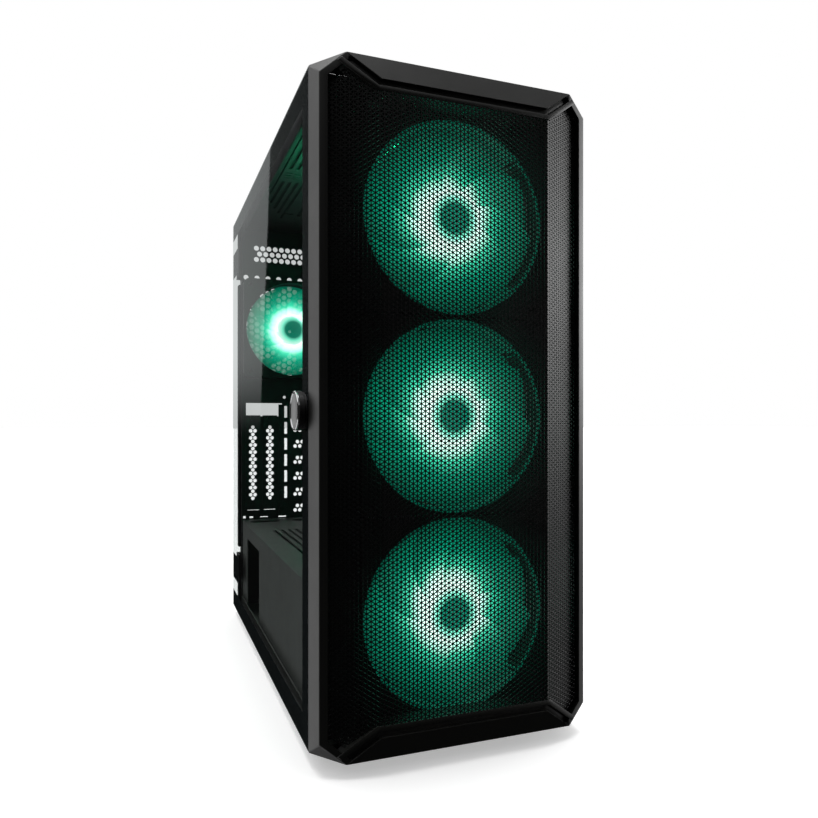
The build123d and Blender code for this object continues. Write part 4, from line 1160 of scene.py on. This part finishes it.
# ------------------------------------------------------------------ fans
@dataclass
class Fan:
    """A lit fan wheel: hub with a lit ring and swept curved blades."""

    rotor: str
    body: str
    axis: str
    blades: int = 9
    hub: float = 21.0 * MM
    lit: float = 28.0 * MM
    power: float = 2.2
    solid: float = 1.0            # opacity of the lit plastic
    sweep: float = math.radians(34)
    chord: float = math.radians(48)
    thick: float = 1.0 * MM
    ring: bool = False            # a ring let into the frame with a painted green glow, standing in for the light the frame catches from the lit blades

    def build(self) -> None:
        """Build the wheel."""
        low, high = span(self.rotor)
        centre = (low + high) / 2
        index = "xyz".index(self.axis)
        depth = high[index] - low[index]
        across = (index + 1) % 3
        radius = (high[across] - low[across]) / 2
        wheel = new_bmesh()
        self._blades(wheel, radius, depth)
        place = Matrix.Translation(centre) @ TURN[self.axis]
        bmesh.ops.transform(wheel, matrix=place, verts=wheel.verts)
        self._hub(wheel, centre, depth)
        lit = GlowFinish(self.body + "_lit_plastic", tuple(centre), index, self.lit, radius, self.power,
                         self.solid).build()
        Piece(self.body + "_wheel", self.body, lit, "fan_blade_glow", (self.rotor,)).place(wheel)
        # painted glow: the frame's ring and bore glow in place of the light they catch from the blades
        if self.ring:
            self._ring(lit, centre)

    def _ring(self, lit: bpy.types.Material, centre: Vector) -> None:
        """Glowing ring let into the frame, with a thin sleeve down its bore: a painted green glow standing in
        for the light that the frame catches from the lit blades.

        Args:
            lit: the lit plastic.
            centre: the wheel's middle.
        """
        low, high = span(self.body + "_frame")
        bore = (high.x - low.x) / 2 - 3.0 * MM
        front, back = low.y - centre.y, high.y - centre.y - 4.0 * MM
        outline = [(bore - 0.3 * MM, front + 0.4 * MM), (bore, front - 0.3 * MM),
                   (bore + 2.4 * MM, front - 0.3 * MM), (bore + 2.7 * MM, front + 0.2 * MM),
                   (bore + 0.1 * MM, front + 0.5 * MM), (bore + 0.1 * MM, back), (bore - 0.3 * MM, back)]
        part = new_bmesh()
        add_turned(part, self.axis, centre, outline, 96)
        Piece(self.body + "_lit_ring", "chassis", lit, "fan_blade_glow").place(part)

    def _hub(self, wheel: BMesh, centre: Vector, depth: float) -> None:
        """Turned hub with a shallow dish and a rounded rim on both faces.

        Args:
            wheel: the mesh to grow.
            centre: the wheel's middle.
            depth: the wheel's thickness.
        """
        half = depth / 2
        r = self.hub
        rim = [(0.0, -half + 0.5 * MM), (r * 0.45, -half + 0.5 * MM), (r * 0.5, -half), (r - 1.5 * MM, -half),
               (r - 0.5 * MM, -half + 0.5 * MM), (r, -half + 1.5 * MM)]
        outline = rim + [(x, -h) for x, h in reversed(rim)]
        add_turned(wheel, self.axis, centre, outline, 48)

    def _blades(self, wheel: BMesh, radius: float, depth: float) -> None:
        """Curved blades about Z, joined into the wheel.

        Args:
            wheel: the mesh to grow.
            radius: tip radius.
            depth: the wheel's thickness.
        """
        across, along = 8, 10
        root = self.hub * 0.96
        for number in range(self.blades):
            part = new_bmesh()
            bmesh.ops.create_grid(part, x_segments=along, y_segments=across, size=0.5)
            base = 2 * math.pi * number / self.blades
            for vert in part.verts:
                out, over = vert.co.x + 0.5, vert.co.y
                r = root + (radius - root) * out
                widen = 1.0 + 0.3 * (1.0 - out) ** 3 + 0.14 * out
                turn = base + self.sweep * out ** 1.5 + self.chord * widen * over
                height = depth * 0.74 * over * (1.0 - 0.25 * out) + depth * 0.07 * math.cos(math.pi * over)
                vert.co = (r * math.cos(turn), r * math.sin(turn), height)
            bmesh.ops.recalc_face_normals(part, faces=part.faces)
            bmesh.ops.solidify(part, geom=part.faces[:], thickness=self.thick)
            bmesh.ops.recalc_face_normals(part, faces=part.faces)
            merge(wheel, part)


# ------------------------------------------------------------------ sheet metal
@dataclass
class RearWall:
    """Rear wall and slot covers, punched for air."""

    pitch: float = 7.8 * MM              # of the fan's grill and of the vents
    hole: float = 3.2 * MM               # radius
    vent_row: float = 7.0 * MM
    vent_top: float = 102.7 * MM         # from the fan's middle up to the highest vents
    vent_start: float = 76.8 * MM        # from the middle plane to the first vent
    grill_reach: float = 56.0 * MM
    upper_row: float = 65.5 * MM         # from the fan's middle up to a row of holes of its own
    slots: int = 7
    slot_pitch: float = 20.32 * MM
    slot_first: float = 9.2 * MM         # middle of the first slot, from the covers' corner
    dash: tuple[float, float] = (1.8 * MM, 7.4 * MM)    # half width and half height
    air_radius: float = 2.35 * MM        # holes of the level covers
    air_gap: float = 6.0 * MM
    air_row: float = 2.8 * MM
    upright_radius: float = 2.3 * MM     # holes of the upright covers
    upright_gap: float = 8.85 * MM
    upright_side: float = 2.65 * MM
    # slits under the upright slots in mm: x, half width, height over the floor, thickness
    slits: tuple[tuple[float, float, float, float], ...] = (
        (-1.0, 1.6, 117.4, 3.0), (7.4, 2.2, 117.0, 2.2), (23.0, 4.8, 117.0, 1.0),
        (45.9, 4.8, 118.0, 4.5), (9.8, 7.2, 126.0, 0.6), (30.2, 7.2, 126.0, 0.7))

    def build(self) -> None:
        """Build every piece."""
        self.low = span("rear_panel")[0]
        self._wall()
        self._seal()
        self._level_covers()
        self._upright_covers()

    def _punch(self, cutter: BMesh, spots: Iterable[tuple[float, float]], radius: float, y: float,
               sides: int = 12) -> None:
        """Add round punches through a wall that faces Y.

        Args:
            cutter: the mesh to grow.
            spots: (x, z) of each hole.
            radius: hole radius.
            y: where the wall is.
            sides: corners of a hole.
        """
        for x, z in spots:
            add_rod(cutter, "y", (x, y, z), radius, 8 * MM, sides)

    def _wall(self) -> None:
        """Perforated rear wall."""
        y = span("rear_fan_frame")[1].y
        fan = middle("rear_fan_frame")
        upright_low, upright_high = span("upright_slot_covers")
        cutter = new_bmesh()
        start, top = MID_X - self.vent_start, fan.z + self.vent_top
        vents = [(start + self.pitch * (i + row % 2 / 2), top - self.vent_row * row)
                 for row in range(3) for i in range(13)]
        self._punch(cutter, [s for s in vents if s[0] < span("io_shield")[0].x - 6 * MM], self.hole, y)
        step = self.pitch * math.cos(math.pi / 6)
        grill = [(column * step, (row + column % 2 / 2) * self.pitch)
                 for column in range(-9, 10) for row in range(-9, 9)]
        round_grill = [s for s in grill if math.hypot(*s) < self.grill_reach]
        round_grill += [(column * step, self.upper_row) for column in range(-8, 7, 2)]
        self._punch(cutter, [(fan.x + x, fan.z + z) for x, z in round_grill], self.hole, y)
        dash_x = self._dashes(cutter, y)
        self._punch(cutter, [(dash_x - 1.6 * MM, upright_high.z + 23 * MM)], 1.9 * MM, y)
        left, right = upright_low.x + 0.8 * MM, upright_high.x + 6.1 * MM
        self._window(cutter, (left, upright_high.z - 1.2 * MM), (right, upright_high.z + 15.3 * MM), y)
        for across, half, up, thick in self.slits:
            x, z = upright_low.x + across * MM, up * MM
            self._window(cutter, (x - half * MM, z - thick / 2 * MM), (x + half * MM, z + thick / 2 * MM), y)
        wall = carved(worked_copy("rear_panel"), cutter)
        Piece("rear_wall_punched", "chassis", Skin.STEEL, "black_steel", ("rear_panel",)).place(wall)

    def _seal(self) -> None:
        """Soft seal up the corner behind the glass, broken at the hinges."""
        low, high = span("hinge_frame_leaves")
        pane = span("glass_door")
        tall = 30.5 * MM
        part = new_bmesh()
        left, right = pane[1].x + 0.6 * MM, self.low.x
        for bottom, top in ((pane[0].z + MM, low.z - 2 * MM), (low.z + tall, high.z - tall),
                            (high.z + 2 * MM, pane[1].z - MM)):
            add_eased_box(part, (left, pane[1].y - 18 * MM, bottom), (right, pane[1].y - 7 * MM, top),
                          0.4 * MM)
        Piece("door_seal", "chassis", Skin.RUBBER, "rubber", ("rear_panel",)).place(part)

    @staticmethod
    def _window(cutter: BMesh, low: tuple[float, float], high: tuple[float, float], y: float) -> None:
        """Add a box that cuts a window through a wall that faces Y.

        Args:
            cutter: the mesh to grow.
            low: lowest (x, z).
            high: highest (x, z).
            y: where the wall is.
        """
        add_box(cutter, (low[0], y - 4 * MM, low[1]), (high[0], y + 4 * MM, high[1]))

    def _dashes(self, cutter: BMesh, y: float) -> float:
        """Cut a tall narrow window beside every level slot but the lowest.

        Args:
            cutter: the mesh to grow.
            y: where the wall is.

        Returns:
            The x of their middles.
        """
        low = span("slot_covers")[0]
        x = low.x + self.slot_first
        half, tall = self.dash
        for i in range(1, self.slots):
            z = low.z + self.slot_first + i * self.slot_pitch
            self._window(cutter, (x - half, z - tall), (x + half, z + tall), y)
        return x

    def _level_covers(self) -> None:
        """Covers with two staggered rows of round holes each."""
        low, high = span("slot_covers")
        cutter = new_bmesh()
        for i in range(self.slots):
            z = low.z + self.slot_first + i * self.slot_pitch
            for row in (-1, 1):
                start = low.x + 21.2 * MM + (self.air_gap / 2 if row > 0 else 0.0)
                spots = [(start + self.air_gap * n, z + row * self.air_row) for n in range(14)]
                self._punch(cutter, spots, self.air_radius, (low.y + high.y) / 2, 10)
        self._dashes(cutter, low.y)
        covers = carved(worked_copy("slot_covers"), cutter)
        Piece("slot_covers_punched", "chassis", Skin.STEEL, "black_steel", ("slot_covers",)).place(covers)

    def _upright_covers(self) -> None:
        """Two upright covers with a zigzag of round holes."""
        low, high = span("upright_slot_covers")
        cutter = new_bmesh()
        first, gap = low.z + 13.6 * MM, self.upright_gap
        for x in (low.x + self.slot_first, high.x - self.slot_first):
            spots = [(x, first + gap * n) for n in range(11)]
            spots += [(x + side * self.upright_side, first + gap * (n + 0.5))
                      for n in range(10) for side in (-1, 1)]
            self._punch(cutter, spots, self.upright_radius, (low.y + high.y) / 2, 10)
        covers = carved(worked_copy("upright_slot_covers"), cutter)
        Piece("upright_covers_punched", "chassis", Skin.STEEL, "black_steel",
              ("upright_slot_covers",)).place(covers)


@dataclass
class TopAndShroud:
    """Slotted top panel, slotted shroud and the side panel."""

    crease_long: float = 190.0 * MM
    crease_wide: float = 1.5 * MM
    crease_x: float = 87.2 * MM          # from the middle of the panel
    air_wide: float = 3.2 * MM
    air_long: float = 104.0 * MM
    shroud_slots: int = 13
    shroud_pitch: float = 8.0 * MM
    shroud_long: float = 170.0 * MM
    shroud_wide: float = 3.4 * MM

    def build(self) -> None:
        """Build every piece."""
        self._top_panel()
        self._shroud()
        self._side_panel()

    def _top_panel(self) -> None:
        """Top panel with a long crease slot and two groups of air slots down each side."""
        low, high = span("top_panel")
        mid_x = (low.x + high.x) / 2
        cutter = new_bmesh()
        for side in (-1, 1):
            crease = (mid_x + side * self.crease_x, -5 * MM)
            self._slots(cutter, [crease], self.crease_long, self.crease_wide, high.z)
            for i in range(4):
                x = mid_x + side * (81.2 - 7.0 * i) * MM
                self._slots(cutter, [(x, -56 * MM)], self.air_long, self.air_wide, high.z)
                self._slots(cutter, [(x, (69 + 9 * i) * MM)], (74 + 18 * i) * MM, self.air_wide, high.z)
            for i in range(4):
                for row in range(3):
                    spot = (mid_x + side * (80 - 9 * i) * MM, (7 + 7 * row + 2 * i) * MM)
                    add_box(cutter, (spot[0] - 3 * MM, spot[1] - 0.9 * MM, high.z - 4 * MM),
                            (spot[0] + 3 * MM, spot[1] + 0.9 * MM, high.z + 4 * MM))
        panel = carved(worked_copy("top_panel"), cutter)
        # the paler steel paints the light that falls on the top panel's inside
        Piece("top_panel_slotted", "chassis", Skin.PALE_STEEL, "black_steel", ("top_panel",)).place(panel)

    @staticmethod
    def _slots(cutter: BMesh, spots: Iterable[tuple[float, float]], long: float, wide: float,
               z: float) -> None:
        """Add cutters for slots that run along Y in a level sheet.

        Args:
            cutter: the mesh to grow.
            spots: (x, y) of each slot's middle.
            long: overall length.
            wide: width.
            z: height of the sheet.
        """
        for x, y in spots:
            outline = [(x - v, y + u, z - 4 * MM) for u, v in slot_outline(long, wide)]
            add_prism(cutter, outline, (0, 0, 8 * MM))

    def _shroud(self) -> None:
        """Shroud with rows of long slots in its top."""
        low, high = span("psu_shroud")
        cutter = new_bmesh()
        first, row = low.x + 24 * MM, low.y + 185 * MM
        spots = [(first + self.shroud_pitch * i, row) for i in range(self.shroud_slots)]
        self._slots(cutter, spots, self.shroud_long, self.shroud_wide, high.z)
        shroud = carved(worked_copy("psu_shroud"), cutter)
        # the paler steel paints the light that falls on the shroud
        Piece("shroud_slotted", "chassis", Skin.SHROUD_STEEL, "black_steel", ("psu_shroud",)).place(shroud)

    def _side_panel(self) -> None:
        """Side panel with eased edges."""
        panel = worked_copy("right_side_panel")
        bevel_all(panel, 0.25 * MM, 2, math.radians(60))
        Piece("side_panel_eased", "side_panel", Skin.STEEL, "black_steel", ("right_side_panel",)).place(panel)


@dataclass
class Feet:
    """Turned feet with eased edges, and rubber pads with a hollow middle."""

    radius: float = 13.0 * MM
    pad_radius: float = 11.0 * MM

    def build(self) -> None:
        """Build every piece."""
        low, high = span("feet")
        pads_low, pads_high = span("foot_pads")
        pad, radius = self.pad_radius, self.radius
        tall, flat = high.z - low.z, pads_high.z - pads_low.z
        foot_outline = [(0.0, 0.0), (radius - 1.2 * MM, 0.0), (radius, 1.2 * MM), (radius, tall - 1.0 * MM),
                        (radius - 1.6 * MM, tall), (0.0, tall)]
        pad_outline = [(0.0, 0.5 * MM), (pad * 0.5, 0.5 * MM), (pad * 0.58, 0.0), (pad - 0.6 * MM, 0.0),
                       (pad, 0.6 * MM), (pad, flat), (0.0, flat)]
        feet, rubber = new_bmesh(), new_bmesh()
        for x in (low.x + radius, high.x - radius):
            for y in (low.y + radius, high.y - radius):
                add_turned(feet, "z", (x, y, low.z), foot_outline, 40)
                add_turned(rubber, "z", (x, y, pads_low.z), pad_outline, 40)
        Piece("feet_turned", "chassis", Skin.PLASTIC, "black_plastic", ("feet",)).place(feet)
        Piece("foot_pads_turned", "chassis", Skin.RUBBER, "rubber", ("foot_pads",)).place(rubber)


@dataclass
class BoardParts:
    """Small parts soldered or screwed to the main board."""

    can_radius: float = 3.2 * MM
    can_tall: float = 9.0 * MM

    def build(self) -> None:
        """Build every piece."""
        self.low, self.high = span("main_board")
        self.face = self.low.x
        self.cooler = middle("cpu_heatsink")
        self._spreaders()
        self._cans()
        self._chips()

    def _spreaders(self) -> None:
        """Finned heat spreaders over the power stage and the board's hub chip."""
        part = new_bmesh()
        ease = 0.25 * MM
        hub_y, hub_z = self.low.y + 70 * MM, self.low.z + 34 * MM
        top_y, top_z = self.cooler.y - 40 * MM, self.high.z - 20 * MM
        for y, z, long, tall, fins in ((hub_y, hub_z, 44.0, 44.0, 9), (top_y, top_z, 84.0, 14.0, 17)):
            long, tall = long * MM, tall * MM
            add_eased_box(part, (self.face - 4 * MM, y, z), (self.face, y + long, z + tall), ease, 1)
            pitch = long / fins
            for i in range(fins):
                near = y + pitch * (i + 0.25)
                add_eased_box(part, (self.face - 11 * MM, near, z + 0.6 * MM),
                              (self.face - 3.5 * MM, near + pitch * 0.5, z + tall - 0.6 * MM), ease, 1)
        Piece("board_heat_spreaders", "chassis", Skin.ALLOY, "heatsink_aluminium").place(part)

    def _cans(self) -> None:
        """Rows of capacitor cans with a grooved foot and an eased top edge."""
        part = new_bmesh()
        r, tall = self.can_radius, self.can_tall
        outline = [(0.0, -tall), (r * 0.8, -tall), (r, -tall + 0.6 * MM), (r, -2.0 * MM),
                   (r * 0.86, -1.6 * MM), (r * 0.86, -1.2 * MM), (r, -0.9 * MM), (r, 0.0), (0.0, 0.0)]
        spots = [(self.cooler.y - 42 * MM + 11 * MM * i, self.cooler.z - 54 * MM) for i in range(8)]
        spots += [(self.high.y - (34 + 9 * i) * MM, self.low.z + 14 * MM) for i in range(5)]
        for y, z in spots:
            add_turned(part, "x", (self.face, y, z), outline, 20)
        Piece("board_capacitors", "chassis", Skin.CAN, "bright_metal").place(part)

    def _chips(self) -> None:
        """Resin chips and chokes."""
        part = new_bmesh()
        for y, z, long, tall, thick in ((150, 60, 9, 9, 1.2), (180, 96, 12, 12, 1.4), (30, 150, 10, 6, 1.2),
                                        (20, 90, 14, 14, 1.6), (205, 40, 8, 12, 1.2)):
            y, z = self.low.y + y * MM, self.low.z + z * MM
            add_eased_box(part, (self.face - thick * MM, y, z), (self.face, y + long * MM, z + tall * MM),
                          0.2 * MM, 1)
        for i in range(7):
            y = self.cooler.y - 40 * MM + 12 * MM * i
            z = self.high.z - 30 * MM
            add_eased_box(part, (self.face - 6 * MM, y, z), (self.face, y + 8 * MM, z + 7 * MM), 0.6 * MM)
        Piece("board_chips", "chassis", Skin.CHIP, "black_plastic").place(part)


# ------------------------------------------------------------------ CAD nodes that keep their shape
DRESS: dict[Skin, tuple[str, ...]] = {
    Skin.STEEL: ("front_left_rail", "front_right_rail", "motherboard_tray", "drive_cage", "psu_housing"),
    # paler steel: painted light on the bottom tray
    Skin.SHROUD_STEEL: ("bottom_tray",),
    Skin.PLASTIC: ("port_sockets", "power_button", "reset_button", "drive_trays", "psu_inlet",
                   "psu_switch", "board_sockets", "hinge_door_leaves", "hinge_frame_leaves",
                   "psu_fan_rotor", "cpu_fan_rotor"),
    Skin.BEZEL: ("io_bar",),
    Skin.SCREEN: ("psu_filter", "top_filter"),
    Skin.FAN: ("front_fan_lower_frame", "front_fan_middle_frame", "front_fan_upper_frame", "rear_fan_frame",
               "cpu_fan_frame"),
    Skin.RUBBER: ("cable_grommets",),
    Skin.BLACK_SCREW: ("case_screws", "fan_screws", "thumb_screws"),
    Skin.ZINC: ("hinge_pins", "door_magnets", "door_strikes", "knob_screw"),
    Skin.BRASS: ("standoffs",),
    Skin.ALLOY: ("cpu_heatsink",),
    Skin.DRIVE: ("hard_drive", "solid_state_drive"),
    Skin.PORT: ("io_shield", "board_ports"),
    Skin.LAMINATE: ("main_board", "memory_modules"),
}


def dress() -> None:
    """Give every CAD node that stays its finish."""
    for skin, nodes in DRESS.items():
        for node in nodes:
            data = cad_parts[node].data
            data.materials.clear()
            data.materials.append(skin.made())
            LOG.info("node %s: %s", node, skin.value.name)


# ------------------------------------------------------------------ the studio
@dataclass
class Studio:
    """Pale floor, soft light panels and the camera."""

    eye: Point = (-0.2109, -0.674, 0.2344)     # across, from the middle plane
    yaw: float = math.radians(20.7)
    lens: float = 31.137
    shift: float = 0.0171
    sensor: float = 36.0
    floor_half: float = 30.0
    # levels of the light panels, as seen in gloss and in soft light only
    right_peak: float = 3.3
    right_level: float = 0.4
    right_height: float = 0.20           # height of the right panel's brightest part, and its spread
    behind_level: float = 0.95
    left_level: float = 0.65
    above_level: float = 0.35
    gloom: float = 0.015                 # everywhere else
    # each green lamp: name, sheet it shines on, height from it, tilt in degrees, watts
    lamps: tuple[tuple[str, str, float, float, float], ...] = (
        ("ceiling_glow", "top_panel", -70 * MM, 64, 1.0), ("shroud_glow", "psu_shroud", 60 * MM, -62, 0.15))

    def build(self) -> None:
        """Set up everything around the tower."""
        self._camera()
        self._floor()
        self._sun()
        self._fan_light()
        self._panels()
        bpy.context.scene.view_settings.view_transform = "Standard"

    def _camera(self) -> None:
        """Level camera at the front left of the tower."""
        data = bpy.data.cameras.new("view")
        data.lens, data.sensor_width, data.shift_y = self.lens, self.sensor, self.shift
        camera = bpy.data.objects.new("view", data)
        camera.location = (MID_X + self.eye[0], self.eye[1], self.eye[2])
        camera.rotation_euler = (math.pi / 2, 0.0, -self.yaw)
        bpy.context.scene.collection.objects.link(camera)
        bpy.context.scene.camera = camera

    def _floor(self) -> None:
        """Plain pale floor."""
        part = new_bmesh()
        bmesh.ops.create_grid(part, x_segments=1, y_segments=1, size=self.floor_half)
        floor = as_object("floor", part)
        graph = Graph("pale_floor")
        speck = graph.noise(3.0, 3.0)
        floor.data.materials.append(graph.surface(
            Base_Color=graph.mix(speck, (0.86, 0.86, 0.86), GREY_WHITE), Roughness=0.7 + speck * 0.1,
            Emission_Color=(*GREY_WHITE, 1.0), Emission_Strength=0.45))
        floor.visible_glossy = False
        floor.visible_diffuse = False

    def _sun(self) -> None:
        """Soft light from straight above."""
        data = bpy.data.lights.new("overhead", "SUN")
        data.energy, data.angle = 1.6, math.radians(30)
        sun = bpy.data.objects.new("overhead", data)
        sun.location = (0, 0, 2)
        bpy.context.scene.collection.objects.link(sun)

    def _fan_light(self) -> None:
        """Green light that the lit fans throw on the ceiling and on the shroud."""
        low, high = span("front_fan_upper_frame")
        for name, node, away, tilt, power in self.lamps:
            z = span(node)[int(away > 0)].z + away
            data = bpy.data.lights.new(name, "AREA")
            data.shape, data.size, data.spread = "DISK", 80 * MM, math.radians(75)
            data.energy, data.color = power, (0.01, 1.0, 0.42)
            lamp = bpy.data.objects.new(name, data)
            lamp.location = ((low.x + high.x) / 2, high.y + 60 * MM, z)
            lamp.rotation_euler = (math.radians(90 + tilt), 0, 0)
            bpy.context.scene.collection.objects.link(lamp)

    def _panels(self) -> None:
        """Soft light panels around the tower, as seen in its gloss."""
        world = bpy.data.worlds.new("studio")
        bpy.context.scene.world = world
        world.use_nodes = True
        graph = Graph.__new__(Graph)
        graph.tree = world.node_tree
        graph.tree.nodes.clear()
        x, y, z = graph.split(graph.node("TexCoord", output="Generated"))
        rise = (z - self.right_height) / self.right_height
        glow = graph.maths("EXPONENT", rise * rise * -1.0) * self.right_peak
        right = (x > 0.80) * (glow + self.right_level)
        fade = graph.node("MapRange", {"interpolation_type": "SMOOTHSTEP"},
                          {"Value": z, "From Min": -0.02, "From Max": 0.10, "To Min": 0.0, "To Max": 1.0})
        behind = (y > 0.0) * (x > (0.155 + z * 0.04) * y * -1.0) * (x < 0.80) * fade * self.behind_level
        left = (x < y * -0.287) * (x < -0.2) * (y > -0.12) * self.left_level
        above = (z > 0.55) * self.above_level
        level = right + behind + left + above + self.gloom
        ambient = graph.node("Background", inputs={"Color": (1.0, 1.0, 1.0, 1.0), "Strength": level})
        seen = graph.node("Background", inputs={"Color": (1.0, 1.0, 1.0, 1.0), "Strength": 1.0})
        camera_ray = graph.node("LightPath", output="Is Camera Ray")
        both = graph.node("MixShader", inputs={0: camera_ray, 1: ambient, 2: seen})
        out = graph.tree.nodes.new("ShaderNodeOutputWorld")
        graph.tree.links.new(both.socket, out.inputs["Surface"])


def main() -> None:
    """Build the tower around its frame, piece by piece."""
    Studio().build()
    dress()
    FrontCover().build()
    Door().build()
    for name in FRONT_FANS:
        Fan(f"front_fan_{name}_rotor", f"front_fan_{name}", "y", ring=True).build()
    Fan("rear_fan_rotor", "rear_fan", "y", hub=19 * MM, lit=26 * MM, power=3.2, solid=0.6).build()
    RearWall().build()
    TopAndShroud().build()
    Feet().build()
    BoardParts().build()


if __name__ == "__main__":
    main()
